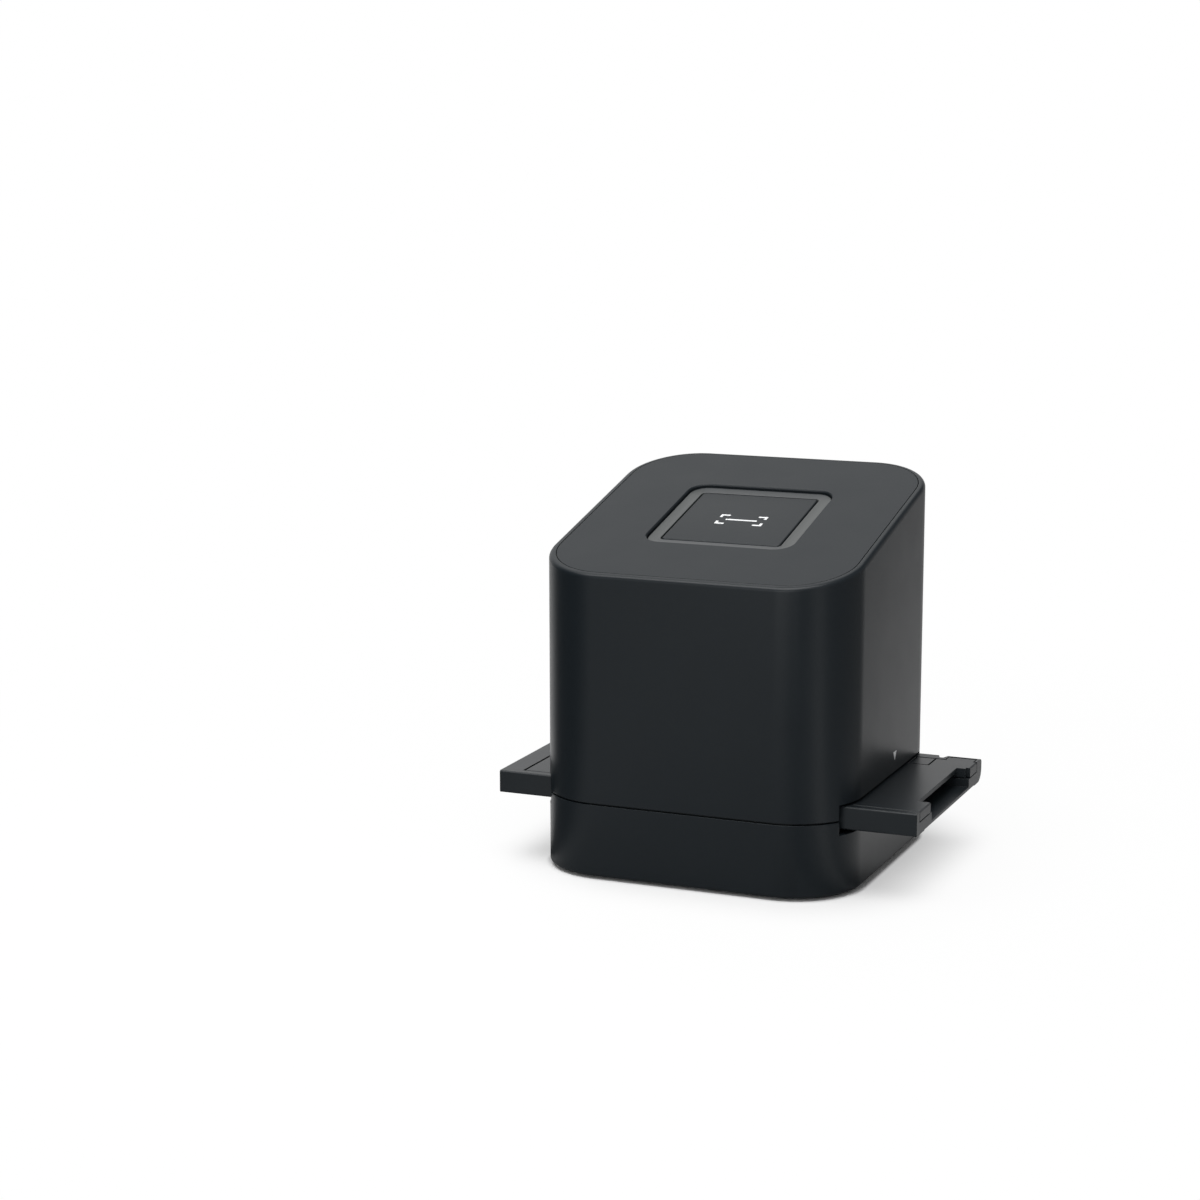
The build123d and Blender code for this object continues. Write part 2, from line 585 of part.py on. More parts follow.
def ring_leds():
    low = -BUTTON_BOARD_DEPTH
    return group(
        TOP * Pos(side * RING_LEG_X, 0, low + LED_HEIGHT / 2) * Box(LED_SHORT, LED_LONG, LED_HEIGHT)
        for side in (-1, 1)
    )


def rubber_feet():
    return group(
        fillet(rod(FOOT_RADIUS, 0, CASE_Z + FOOT_SEAT, x, y).edges().group_by(Axis.Z)[0], FOOT_PROUD / 2)
        for x, y in corners(FOOT_X, FOOT_Y)
    )


def case_screws():
    one = Rot(180, 0, 0) * screw(CASE_SCREW_RADIUS, CASE_SCREW_LENGTH, CASE_HEAD_RADIUS, CASE_HEAD_HEIGHT)
    return group(Pos(x, y, BOSS_SEAT_Z) * one for x, y in corners(BOSS_X, BOSS_Y))


def deck_posts():
    """Where the deck is screwed to the base."""
    return [(side * DECK_POST_X, y) for side in (-1, 1) for y in DECK_POST_YS]


def deck_head_seat():
    """Height of the deck screws' seats, with the heads just below the deck's face."""
    return DECK_TOP_Z - HEAD_SINK - SMALL_HEAD_HEIGHT


def tray_deck():
    depth = DECK_REAR - DECK_FRONT
    middle = (DECK_REAR + DECK_FRONT) / 2
    deck = plate(2 * DECK_HALF_X, depth, DECK_CORNER, DECK_Z, DECK_TOP_Z, middle)
    deck -= block(
        -APERTURE_LONG / 2,
        APERTURE_LONG / 2,
        OPTIC_Y - APERTURE_SHORT / 2,
        OPTIC_Y + APERTURE_SHORT / 2,
        DECK_Z,
        DECK_TOP_Z,
    )
    seat = DIFFUSER_MARGIN + DIFFUSER_GAP
    deck -= block(
        -APERTURE_LONG / 2 - seat,
        APERTURE_LONG / 2 + seat,
        OPTIC_Y - APERTURE_SHORT / 2 - seat,
        OPTIC_Y + APERTURE_SHORT / 2 + seat,
        DECK_Z,
        DECK_Z + DIFFUSER_THICK,
    )
    half = GUIDE_SPAN / 2
    guide_top = LOWER_TOP_Z
    deck += block(-half, half, DECK_FRONT, DECK_FRONT + GUIDE_THICK, DECK_TOP_Z, guide_top)
    for side in (-1, 1):
        inner = side * SPRING_ARM
        outer = side * half
        low, high = sorted((inner, outer))
        deck += block(low, high, GUIDE_REAR, GUIDE_REAR + GUIDE_THICK, DECK_TOP_Z, guide_top)
        low, high = sorted((inner, inner + side * SPRING_TAB))
        deck += block(low, high, SPRING_POST_Y, DECK_REAR, DECK_TOP_Z, guide_top)
    for x, y in deck_posts():
        deck -= screw_hole(x, y, DECK_Z, DECK_TOP_Z)
        deck -= rod(SMALL_HEAD_RADIUS + SCREW_CLEARANCE, deck_head_seat(), DECK_TOP_Z, x, y)
    return deck


def deck_screws():
    through = deck_head_seat() - DECK_Z
    return group(Pos(x, y, deck_head_seat()) * small_screw(through) for x, y in deck_posts())


def detent_spring():
    """A leaf with its tabs behind the rear guide and a nose in the holder's notch."""
    arm_y = HOLDER_REAR + SPRING_GAP
    tip_y = HOLDER_REAR - SPRING_NOSE
    nose = NOTCH_WIDTH / 2 - SPRING_GAP
    end = SPRING_ARM + SPRING_TAB
    half = [(nose, arm_y), (SPRING_ARM - GUIDE_THICK, SPRING_Y), (end, SPRING_Y)]
    line = [(-x, y) for x, y in reversed(half)] + [(0, tip_y)] + half
    back = [(x, y + SPRING_THICK) for x, y in reversed(line)]
    leaf = extrude(make_face(Polyline(*line, *back, close=True)), SPRING_HEIGHT)
    return Pos(0, 0, DECK_TOP_Z + MOULD_GAP) * leaf


def lamp_posts():
    """Where the lamp's board is screwed to the base."""
    return corners(LAMP_BOARD_X - LAMP_POST_FROM_SIDE, LAMP_BOARD_Y - LAMP_POST_FROM_END, OPTIC_Y)


def backlight_board():
    long = 2 * LAMP_BOARD_X
    short = 2 * LAMP_BOARD_Y
    board = plate(long, short, LAMP_BOARD_CORNER, LAMP_BOARD_Z, LAMP_TOP_Z, OPTIC_Y)
    for x, y in lamp_posts():
        board -= screw_hole(x, y, LAMP_BOARD_Z, LAMP_TOP_Z)
    return board


def backlight_screws():
    one = screw(
        SMALL_SCREW_RADIUS, BOARD_THICK + LAMP_STANDOFF, SMALL_HEAD_RADIUS, SMALL_HEAD_HEIGHT
    )
    return group(Pos(x, y, LAMP_TOP_Z) * one for x, y in lamp_posts())


def backlight_leds():
    xs = [(column - (LED_COLUMNS - 1) / 2) * LED_PITCH_X for column in range(LED_COLUMNS)]
    ys = [OPTIC_Y + (row - (LED_ROWS - 1) / 2) * LED_PITCH_Y for row in range(LED_ROWS)]
    chip = Box(LED_LONG, LED_SHORT, LED_HEIGHT)
    return group(Pos(x, y, LAMP_TOP_Z + LED_HEIGHT / 2) * chip for x in xs for y in ys)


def tapered(low_x, low_y, z_low, high_x, high_y, z_high):
    """A four-sided block on the optical axis that changes size from one height to another."""
    low = Pos(0, OPTIC_Y, z_low) * Rectangle(low_x, low_y)
    high = Pos(0, OPTIC_Y, z_high) * Rectangle(high_x, high_y)
    return loft([low, high], ruled=True)


def light_box():
    low_x = APERTURE_LONG - 2 * LIGHT_BOX_TAPER
    low_y = APERTURE_SHORT - 2 * LIGHT_BOX_TAPER
    wall = 2 * LIGHT_BOX_WALL
    box = tapered(
        low_x + wall, low_y + wall, LAMP_TOP_Z, APERTURE_LONG + wall, APERTURE_SHORT + wall, DECK_Z
    )
    margin = 2 * (DIFFUSER_MARGIN + LIGHT_BOX_FLANGE)
    flange = Box(APERTURE_LONG + margin, APERTURE_SHORT + margin, LIGHT_BOX_RIM)
    box += Pos(0, OPTIC_Y, DECK_Z - LIGHT_BOX_RIM / 2) * flange
    return box - tapered(low_x, low_y, LAMP_TOP_Z, APERTURE_LONG, APERTURE_SHORT, DECK_Z)


def diffuser():
    margin = 2 * DIFFUSER_MARGIN
    sheet = Box(APERTURE_LONG + margin, APERTURE_SHORT + margin, DIFFUSER_THICK)
    return Pos(0, OPTIC_Y, DECK_Z + DIFFUSER_THICK / 2) * sheet


def baffle_tabs():
    """Where the baffle's foot is screwed to the optic frame."""
    x = FRAME_LONG / 2 + GATE_MARGIN + BAFFLE_WALL + BAFFLE_FOOT / 2
    return [(side * x, OPTIC_Y + y) for side in (-1, 1) for y in (-BAFFLE_TAB, BAFFLE_TAB)]


def optic_frame():
    strap_depth = 2 * (INNER_Y - OPTIC_STRAP_GAP)
    frame = plate(OPTIC_PLATE_WIDTH, 2 * OPTIC_PLATE_Y, POST_RADIUS, GATE_Z, OPTIC_TOP_Z)
    frame += plate(2 * OPTIC_STRAP_X, strap_depth, POST_RADIUS, GATE_Z, OPTIC_TOP_Z)
    half_long = FRAME_LONG / 2 + GATE_MARGIN
    half_short = FRAME_SHORT / 2 + GATE_MARGIN
    frame -= block(-half_long, half_long, OPTIC_Y - half_short, OPTIC_Y + half_short, GATE_Z, OPTIC_TOP_Z)
    for x, y in corners(OPTIC_POST_X, OPTIC_POST_Y):
        frame -= screw_hole(x, y, GATE_Z, OPTIC_TOP_Z)
    for x, y in baffle_tabs():
        frame -= rod(SMALL_SCREW_RADIUS + THREAD_GAP, GATE_Z, OPTIC_TOP_Z, x, y)
    return frame


def optic_frame_screws():
    one = small_screw(OPTIC_PLATE)
    return group(Pos(x, y, OPTIC_TOP_Z) * one for x, y in corners(OPTIC_POST_X, OPTIC_POST_Y))


def light_baffle():
    long = FRAME_LONG + 2 * GATE_MARGIN
    short = FRAME_SHORT + 2 * GATE_MARGIN
    wall = 2 * BAFFLE_WALL
    foot = 2 * BAFFLE_FOOT
    throat = BAFFLE_TOP - wall
    baffle = tapered(long + wall, short + wall, OPTIC_TOP_Z, BAFFLE_TOP, BAFFLE_TOP, BAFFLE_TOP_Z)
    flange = Box(long + wall + foot, short + wall, BAFFLE_WALL)
    baffle += Pos(0, OPTIC_Y, OPTIC_TOP_Z + BAFFLE_WALL / 2) * flange
    lid = Box(2 * LENS_EAR_X + 2 * POST_RADIUS, BAFFLE_TOP, BAFFLE_LID)
    baffle += Pos(0, OPTIC_Y, BAFFLE_TOP_Z - BAFFLE_LID / 2) * lid
    baffle -= tapered(long, short, OPTIC_TOP_Z, throat, throat, BAFFLE_TOP_Z - BAFFLE_LID)
    baffle -= rod(LENS_RADIUS + SCREW_CLEARANCE, OPTIC_TOP_Z, BAFFLE_TOP_Z, 0, OPTIC_Y)
    for x, y in baffle_tabs():
        baffle -= screw_hole(x, y, OPTIC_TOP_Z, OPTIC_TOP_Z + BAFFLE_WALL)
    for x, y in lens_ears():
        baffle -= rod(SMALL_SCREW_RADIUS + THREAD_GAP, BAFFLE_TOP_Z - BAFFLE_LID, BAFFLE_TOP_Z, x, y)
    return baffle


def baffle_screws():
    one = screw(
        SMALL_SCREW_RADIUS, BAFFLE_WALL + OPTIC_PLATE, SMALL_HEAD_RADIUS, SMALL_HEAD_HEIGHT
    )
    return group(Pos(x, y, OPTIC_TOP_Z + BAFFLE_WALL) * one for x, y in baffle_tabs())


def lens_ears():
    """Where the sensor board, lens holder and baffle are screwed together."""
    return [(side * LENS_EAR_X, OPTIC_Y) for side in (-1, 1)]


def lens_holder():
    holder = plate(LENS_HOLDER_SIDE, LENS_HOLDER_SIDE, POST_RADIUS, BAFFLE_TOP_Z, SENSOR_BOARD_Z, OPTIC_Y)
    for x, y in lens_ears():
        holder += rod(POST_RADIUS, BAFFLE_TOP_Z, SENSOR_BOARD_Z, x, y)
        low, high = sorted((0, x))
        holder += block(low, high, y - POST_RADIUS / 2, y + POST_RADIUS / 2, BAFFLE_TOP_Z, SENSOR_BOARD_Z)
        holder -= screw_hole(x, y, BAFFLE_TOP_Z, SENSOR_BOARD_Z)
    room = SENSOR_SIDE + 2 * SENSOR_ROOM
    holder -= rod(LENS_RADIUS + LENS_GAP, BAFFLE_TOP_Z, SENSOR_BOARD_Z, 0, OPTIC_Y)
    pocket = Box(room, room, SENSOR_HEIGHT + SENSOR_ROOM)
    return holder - Pos(0, OPTIC_Y, SENSOR_BOARD_Z - (SENSOR_HEIGHT + SENSOR_ROOM) / 2) * pocket


def lens_barrel():
    low = BAFFLE_TOP_Z - LENS_HANG
    high = low + LENS_LENGTH
    seat = LENS_BORE - GLASS_SEAT
    barrel = rod(LENS_RADIUS, low, high, 0, OPTIC_Y) - rod(seat, low, high, 0, OPTIC_Y)
    barrel -= rod(LENS_BORE + LENS_GAP, low, low + GLASS_EDGE + GLASS_CROWN, 0, OPTIC_Y)
    return barrel - rod(LENS_BORE + LENS_GAP, high - GLASS_EDGE - GLASS_CROWN, high, 0, OPTIC_Y)


def lens_elements():
    """A front and a rear glass, each flat inside and crowned outside."""
    low = BAFFLE_TOP_Z - LENS_HANG
    high = low + LENS_LENGTH
    ball_radius = (LENS_BORE**2 + GLASS_CROWN**2) / (2 * GLASS_CROWN)
    ball = Pos(0, 0, ball_radius - GLASS_CROWN) * Sphere(ball_radius)
    glass = rod(LENS_BORE, -GLASS_CROWN, GLASS_EDGE) & ball
    front = Pos(0, OPTIC_Y, low + GLASS_CROWN) * glass
    rear = Pos(0, OPTIC_Y, high - GLASS_CROWN) * Rot(180, 0, 0) * glass
    return group([front, rear])


def sensor_board():
    board = plate(
        SENSOR_BOARD_LONG, SENSOR_BOARD_SHORT, POST_RADIUS, SENSOR_BOARD_Z, SENSOR_TOP_Z, OPTIC_Y
    )
    for x, y in lens_ears():
        board -= screw_hole(x, y, SENSOR_BOARD_Z, SENSOR_TOP_Z)
    return board


def image_sensor():
    chip = Box(SENSOR_SIDE, SENSOR_SIDE, SENSOR_HEIGHT)
    return Pos(0, OPTIC_Y, SENSOR_BOARD_Z - SENSOR_HEIGHT / 2) * chip


def sensor_screws():
    length = BOARD_THICK + LENS_HOLDER_HEIGHT + BAFFLE_LID
    one = screw(SMALL_SCREW_RADIUS, length, SMALL_HEAD_RADIUS, SMALL_HEAD_HEIGHT)
    return group(Pos(x, y, SENSOR_TOP_Z) * one for x, y in lens_ears())


def main_posts():
    """X and Z of the main board's screws in the rear wall."""
    zs = (MAIN_Z + MAIN_POST_INSET, MAIN_TOP_Z - MAIN_POST_INSET)
    return [(side * MAIN_POST_X, z) for side in (-1, 1) for z in zs]


def main_board():
    board = block(-MAIN_HALF_X, MAIN_HALF_X, MAIN_FRONT_Y, MAIN_REAR_Y, MAIN_Z, MAIN_TOP_Z)
    for x, z in main_posts():
        board -= rod_y(SMALL_SCREW_RADIUS + SCREW_CLEARANCE, MAIN_FRONT_Y, MAIN_REAR_Y, x, z)
    return board


def main_board_screws():
    one = Rot(90, 0, 0) * small_screw(BOARD_THICK)
    return group(Pos(x, MAIN_FRONT_Y, z) * one for x, z in main_posts())


def main_chips():
    middle_y = MAIN_FRONT_Y - CHIP_HEIGHT / 2
    return group(
        Pos(x, middle_y, MAIN_Z + lift) * Box(size_x, CHIP_HEIGHT, size_z)
        for size_x, size_z, x, lift in CHIPS
    )


def usb_z():
    """Height of the socket's middle."""
    return MAIN_Z + USB_LIFT


def usb_socket():
    """A square metal shell with an open mouth at the rear and a contact tongue inside."""
    length = CASE_DEPTH / 2 - USB_SINK - MAIN_REAR_Y
    outer = extrude(RectangleRounded(USB_WIDTH, USB_HEIGHT, USB_ROUND), length)
    mouth = RectangleRounded(USB_WIDTH - 2 * USB_SHELL, USB_HEIGHT - 2 * USB_SHELL, USB_ROUND - USB_SHELL)
    shell = outer - Pos(0, 0, USB_TONGUE) * extrude(mouth, length - USB_TONGUE)
    tongue_width = USB_WIDTH - 2 * (USB_SHELL + USB_TONGUE)
    tongue = Pos(0, 0, length / 2) * Box(tongue_width, USB_TONGUE, length - 2 * USB_TONGUE)
    return Pos(0, MAIN_REAR_Y, usb_z()) * Rot(-90, 0, 0) * (shell + tongue)


def holder_outline():
    """Section of the film holder: bevelled front edges, a round rear edge with a deeper round below."""
    points = [
        (HOLDER_REAR, HOLDER_THICK),
        (HOLDER_FRONT + HOLDER_EDGE, HOLDER_THICK),
        (HOLDER_FRONT, HOLDER_THICK - HOLDER_EDGE),
        (HOLDER_FRONT, HOLDER_EDGE),
        (HOLDER_FRONT + HOLDER_EDGE, 0),
        (HOLDER_REAR, 0),
    ]
    section = make_face(Polyline(*points, close=True))
    upper = section.vertices().group_by(Axis.Y)[-1].sort_by(Axis.X)[-1]
    section = fillet(upper, HOLDER_REAR_ROUND)
    lower = section.vertices().group_by(Axis.Y)[0].sort_by(Axis.X)[-1]
    return fillet(lower, HOLDER_BELLY_ROUND)


def holder_body(x_low, x_high):
    """The film holder's full section between two places along X."""
    return Pos(x_low, 0, HOLDER_Z) * extrude(Plane.YZ * holder_outline(), x_high - x_low)


def film_window(z_low, z_high, margin=0.0):
    """The film frame's window, with a margin round it."""
    long = FRAME_LONG / 2 + margin
    short = FRAME_SHORT / 2 + margin
    return block(-long, long, OPTIC_Y - short, OPTIC_Y + short, z_low, z_high)


def holder_frame():
    frame = holder_body(HOLDER_LEFT, HOLDER_RIGHT)
    frame -= block(BAY_LEFT, HOLDER_RIGHT, BAY_FRONT, BAY_REAR, LOWER_TOP_Z, HOLDER_TOP_Z)
    film_low = OPTIC_Y - FILM_HALF
    film_high = OPTIC_Y + FILM_HALF
    frame -= block(HOLDER_LEFT, HOLDER_RIGHT, film_low, film_high, FILM_Z, LOWER_TOP_Z)
    floor_low = HOLDER_FRONT + FLOOR_SIDE
    floor_high = HOLDER_REAR - FLOOR_SIDE
    frame -= block(HOLDER_LEFT, HOLDER_RIGHT, floor_low, floor_high, HOLDER_Z, HOLDER_Z + FLOOR_RAISE)
    frame -= film_window(HOLDER_Z, FILM_Z)
    swing = LEAF_REACH + LEAF_SWING_GAP
    room = LEAF_LENGTH / 2 + LEAF_SIDE_GAP
    for x in LEAF_MIDDLES:
        frame -= block(x - room, x + room, BAY_REAR, PIN_Y + swing, PIN_Z - swing, HOLDER_TOP_Z)
        frame -= rod_x(PIN_RADIUS + PIN_FIT, x - room - PIN_END, x + room + PIN_END, PIN_Y, PIN_Z)
    for x in (0, NOTCH_PITCH):
        notch = Polyline(
            (x - NOTCH_WIDTH / 2, HOLDER_REAR),
            (x - NOTCH_FLOOR / 2, HOLDER_REAR - NOTCH_DEPTH),
            (x + NOTCH_FLOOR / 2, HOLDER_REAR - NOTCH_DEPTH),
            (x + NOTCH_WIDTH / 2, HOLDER_REAR),
            close=True,
        )
        frame -= Pos(0, 0, HOLDER_Z) * extrude(make_face(notch), HOLDER_THICK)
    return frame


def mark_plate(right, front, inset):
    """The lid's small square mark, drawn in from its outline by an inset."""
    return block(
        right - MARK_LENGTH + inset,
        right - inset,
        front + inset,
        front + MARK_WIDTH - inset,
        HOLDER_TOP_Z - MARK_RECESS,
        HOLDER_TOP_Z,
    )


def holder_cover():
    low = LOWER_TOP_Z + COVER_SEAT
    left = BAY_LEFT + COVER_GAP
    cover = block(left, HOLDER_RIGHT, BAY_FRONT + COVER_GAP, BAY_REAR - COVER_GAP, low, HOLDER_TOP_Z)
    cover = chamfer(cover.edges().group_by(Axis.Z)[-1], COVER_EDGE)
    film_low = OPTIC_Y - FILM_HALF
    film_high = OPTIC_Y + FILM_HALF
    plate_z = HOLDER_TOP_Z - COVER_PLATE
    cover -= block(left, HOLDER_RIGHT, film_low, film_high, low, plate_z)
    cover += film_window(FILM_Z + FILM_SLIT, plate_z, GATE_LIP)
    cover -= film_window(FILM_Z, HOLDER_TOP_Z)
    notch_low = film_low - END_NOTCH_SIDE
    notch_high = film_high + END_NOTCH_SIDE
    cover -= block(HOLDER_RIGHT - END_NOTCH, HOLDER_RIGHT, notch_low, notch_high, low, HOLDER_TOP_Z)
    mark_right = HOLDER_RIGHT - MARK_FROM_END
    cover -= mark_plate(mark_right, film_high, 0.0) - mark_plate(mark_right, film_high, MARK_GROOVE)
    leaf_body = holder_body(HOLDER_LEFT, HOLDER_RIGHT)
    for x in LEAF_MIDDLES:
        x_low = x - LEAF_LENGTH / 2
        x_high = x + LEAF_LENGTH / 2
        leaf = block(x_low, x_high, film_high, PIN_Y, low, HOLDER_TOP_Z)
        leaf += rod_x(LEAF_REACH, x_low, x_high, PIN_Y, PIN_Z)
        cover += leaf & leaf_body
        cover -= rod_x(PIN_RADIUS + PIN_FIT, x_low, x_high, PIN_Y, PIN_Z)
    return cover


def hinge_pins():
    reach = LEAF_LENGTH / 2 + LEAF_SIDE_GAP + PIN_END
    return group(rod_x(PIN_RADIUS, x - reach, x + reach, PIN_Y, PIN_Z) for x in LEAF_MIDDLES)


def ribbon(width, x, points):
    """A flat cable of a width along points in Y and Z, bent round at each corner."""
    path = FilletPolyline(*[(x, y, z) for y, z in points], radius=RIBBON_BEND)
    section = Plane(origin=path @ 0, x_dir=(1, 0, 0), z_dir=path % 0) * Rectangle(width, RIBBON_THICK)
    return sweep(section, path=path)


def connector(width):
    """A ribbon's socket on the XY plane: it opens towards +Y, with its mouth at the origin."""
    socket = Box(width + 2 * CONNECTOR_SIDE, CONNECTOR_LENGTH, CONNECTOR_HEIGHT)
    return Pos(0, -CONNECTOR_LENGTH / 2, CONNECTOR_HEIGHT / 2) * socket


def sensor_mouth():
    """Y and Z of the ribbon's way out of the sensor board's socket."""
    return (OPTIC_Y + SENSOR_BOARD_SHORT / 2, SENSOR_TOP_Z + CONNECTOR_HEIGHT / 2)


def lamp_mouth():
    """Y and Z of the ribbon's way out of the lamp board's socket."""
    return (OPTIC_Y + LAMP_BOARD_Y, LAMP_TOP_Z + CONNECTOR_HEIGHT / 2)


def button_mouth():
    """Y and Z of the ribbon's way out of the button board's socket, below that board."""
    depth = BUTTON_BOARD_UNDER + CONNECTOR_HEIGHT / 2
    place = (TOP * Pos(0, BUTTON_BOARD_SHORT / 2, -depth)).position
    return (place.Y, place.Z)


def sensor_route():
    """Points in Y and Z from the sensor board's socket to the main board's."""
    y, z = sensor_mouth()
    return [(y, z), (RIBBON_Y, z), (RIBBON_Y, z - SENSOR_RIBBON_DROP)]


def lamp_route():
    """Points in Y and Z from the lamp board's socket to the main board's."""
    y, z = lamp_mouth()
    return [(y, z), (RIBBON_Y, z), (RIBBON_Y, MAIN_Z + LAMP_SOCKET_LIFT)]


def button_route():
    """Points in Y and Z from the button board's socket to the main board's."""
    y, z = button_mouth()
    bend_z = z + (RIBBON_Y - y) * tan(SLOPE)
    return [(y, z), (RIBBON_Y, bend_z), (RIBBON_Y, bend_z - BUTTON_RIBBON_DROP)]


def sensor_ribbon():
    return ribbon(SENSOR_RIBBON_WIDTH, 0, sensor_route())


def backlight_ribbon():
    return ribbon(LAMP_RIBBON_WIDTH, LAMP_SOCKET_X, lamp_route())


def button_ribbon():
    return ribbon(BUTTON_RIBBON_WIDTH, BUTTON_SOCKET_X, button_route())


def main_socket(x, route):
    """Where a ribbon's last point meets the main board, with the socket's mouth upwards."""
    _, z = route[-1]
    return Pos(x, MAIN_FRONT_Y, z) * Rot(90, 0, 0)


def ribbon_connectors():
    sensor_y, _ = sensor_mouth()
    lamp_y, _ = lamp_mouth()
    under_button = TOP * Pos(BUTTON_SOCKET_X, BUTTON_BOARD_SHORT / 2, -BUTTON_BOARD_UNDER)
    mouth_down = Rot(0, 0, 180)
    return group(
        [
            Pos(0, sensor_y, SENSOR_TOP_Z) * connector(SENSOR_RIBBON_WIDTH),
            Pos(LAMP_SOCKET_X, lamp_y, LAMP_TOP_Z) * connector(LAMP_RIBBON_WIDTH),
            under_button * Rot(0, 180, 0) * connector(BUTTON_RIBBON_WIDTH),
            main_socket(0, sensor_route()) * connector(SENSOR_RIBBON_WIDTH),
            main_socket(BUTTON_SOCKET_X, button_route()) * connector(BUTTON_RIBBON_WIDTH),
            main_socket(LAMP_SOCKET_X, lamp_route()) * mouth_down * connector(LAMP_RIBBON_WIDTH),
        ]
    )


PIECES = [
    base_shell,
    upper_shell,
    top_panel,
    light_ring,
    scan_button,
    switch_plunger,
    tact_switch,
    button_board,
    button_board_screws,
    ring_leds,
    rubber_feet,
    case_screws,
    tray_deck,
    deck_screws,
    detent_spring,
    backlight_board,
    backlight_screws,
    backlight_leds,
    light_box,
    diffuser,
    optic_frame,
    optic_frame_screws,
    light_baffle,
    baffle_screws,
    lens_holder,
    lens_barrel,
    lens_elements,
    sensor_board,
    image_sensor,
    sensor_screws,
    main_board,
    main_board_screws,
    main_chips,
    usb_socket,
    holder_frame,
    holder_cover,
    hinge_pins,
    sensor_ribbon,
    backlight_ribbon,
    button_ribbon,
    ribbon_connectors,
]

os.makedirs("parts", exist_ok=True)
for piece in PIECES:
    export_step(piece(), f"parts/{piece.__name__}.step")
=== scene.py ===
import json

import bpy
import numpy as np
from mathutils import Matrix, Vector


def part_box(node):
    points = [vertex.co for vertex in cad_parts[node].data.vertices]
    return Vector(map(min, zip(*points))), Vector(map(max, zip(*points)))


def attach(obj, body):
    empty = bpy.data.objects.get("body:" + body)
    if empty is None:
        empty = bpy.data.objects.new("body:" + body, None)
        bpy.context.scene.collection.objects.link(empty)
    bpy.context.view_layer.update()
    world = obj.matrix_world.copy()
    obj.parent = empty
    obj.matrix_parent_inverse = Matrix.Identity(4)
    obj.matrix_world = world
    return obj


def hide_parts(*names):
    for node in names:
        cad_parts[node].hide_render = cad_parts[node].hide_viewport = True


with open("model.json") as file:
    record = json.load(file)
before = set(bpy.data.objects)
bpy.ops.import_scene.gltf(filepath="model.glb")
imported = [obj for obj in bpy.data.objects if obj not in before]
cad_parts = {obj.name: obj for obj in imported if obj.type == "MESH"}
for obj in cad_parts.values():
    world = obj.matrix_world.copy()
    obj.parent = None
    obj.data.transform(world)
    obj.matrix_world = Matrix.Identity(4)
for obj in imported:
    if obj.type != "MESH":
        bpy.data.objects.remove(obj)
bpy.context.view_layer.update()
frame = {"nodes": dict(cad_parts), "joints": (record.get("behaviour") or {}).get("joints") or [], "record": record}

# The scanner stands on z = 0 with its sloped top facing -Y and its film holder along X.
# Lengths are in metres, written as millimetres times MM.
MM = 0.001

# Light ring, measured in the axes of the sloped top: halves of its sides, and depths under the top
RING_INNER = 16.85 * MM
RING_OUTER = 20.2 * MM
RING_FLANGE = 22.0 * MM
RING_CORNER = 1.4 * MM
RING_TOP = 0.85 * MM
RING_DISH = 0.1 * MM
RING_SAG = 0.12 * MM
RING_EDGE = 0.3 * MM
RING_FLANGE_TOP = 2.0 * MM
RING_FLANGE_LOW = 3.4 * MM
RING_LOW = 4.5 * MM
RING_LEG_HALF = (0.8 * MM, 3.0 * MM)
DISH_STEPS = 14

# Printed marks: strokes of the scan sign on the button, and the arrow above the slot
PRINT_THICK = 0.03 * MM
SIGN_MIDDLE = (0.6 * MM, -1.0 * MM)
SIGN_HALF = (6.6 * MM, 3.2 * MM)
SIGN_STROKE = 0.75 * MM
SIGN_ARM = 2.6 * MM
SIGN_LEG = SIGN_ARM / 1.4
SIGN_BAR_HALF = 4.4 * MM
ARROW_TIP = (3.75 * MM, 27.7 * MM)
ARROW_LENGTH = 2.4 * MM
ARROW_HALF = 1.45 * MM

# Edges: the round that those of moulded plastic are shaded with and the samples it takes, and for every piece
# the bend past which an edge counts as sharp, once points closer than MERGE are one
EDGE_ROUND = 0.22 * MM
EDGE_SAMPLES = 6
SHARP_ANGLE = np.radians(32.0)
MERGE = 0.001 * MM

# Moulded plastic: cells of its grain and cloud, relief, share of the cloud in its tone, and spreads of tone
# and gloss
CHARCOAL = (0.0087, 0.0124, 0.0156)
SOFT_CHARCOAL = (0.0138, 0.0174, 0.0204)
GRAIN = 0.35 * MM
GRAIN_DEPTH = 0.004 * MM
CLOUD = 14 * MM
CLOUD_SHARE = 0.6
PLASTIC_TONES = (0.9, 1.1)
PLASTIC_GLOSS = 0.06
SHINE = 0.25

# Light guide: tones of its legs, drag lines, the blend between legs at the corners, and roughness with its spread.
# The legs to left and right take their own tone, painted light and shade for how the light falls on them apart
# from the legs in front and behind
GUIDE_SMOKE = ((0.05, 0.054, 0.056), (0.075, 0.08, 0.083))
GUIDE_SIDE_PAINTED_LIGHT = ((0.046, 0.05, 0.05), (0.074, 0.08, 0.079))
DRAG_LINE = 0.5 * MM
DRAG_STRETCH = (1.0, 14.0, 14.0)
DRAG_DEPTH = 0.003 * MM
LEG_BLEND = 1.5 * MM
GUIDE_ROUGH = (0.26, 0.08)
GUIDE_SHINE = 0.35

# Rubber: tones, cells and relief of its bloom, and roughness with its spread
RUBBER_TONES = ((0.012, 0.012, 0.012), (0.028, 0.028, 0.028))
BLOOM = 1.2 * MM
BLOOM_DEPTH = 0.02 * MM
RUBBER_ROUGH = (0.78, 0.15)

# Metal: width and relief of its drawing lines, and spreads of tone and gloss
DRAWN_LINE = 0.15 * MM
DRAWN_DEPTH = 0.004 * MM
METAL_TONES = (0.82, 1.08)
METAL_GLOSS = 0.14

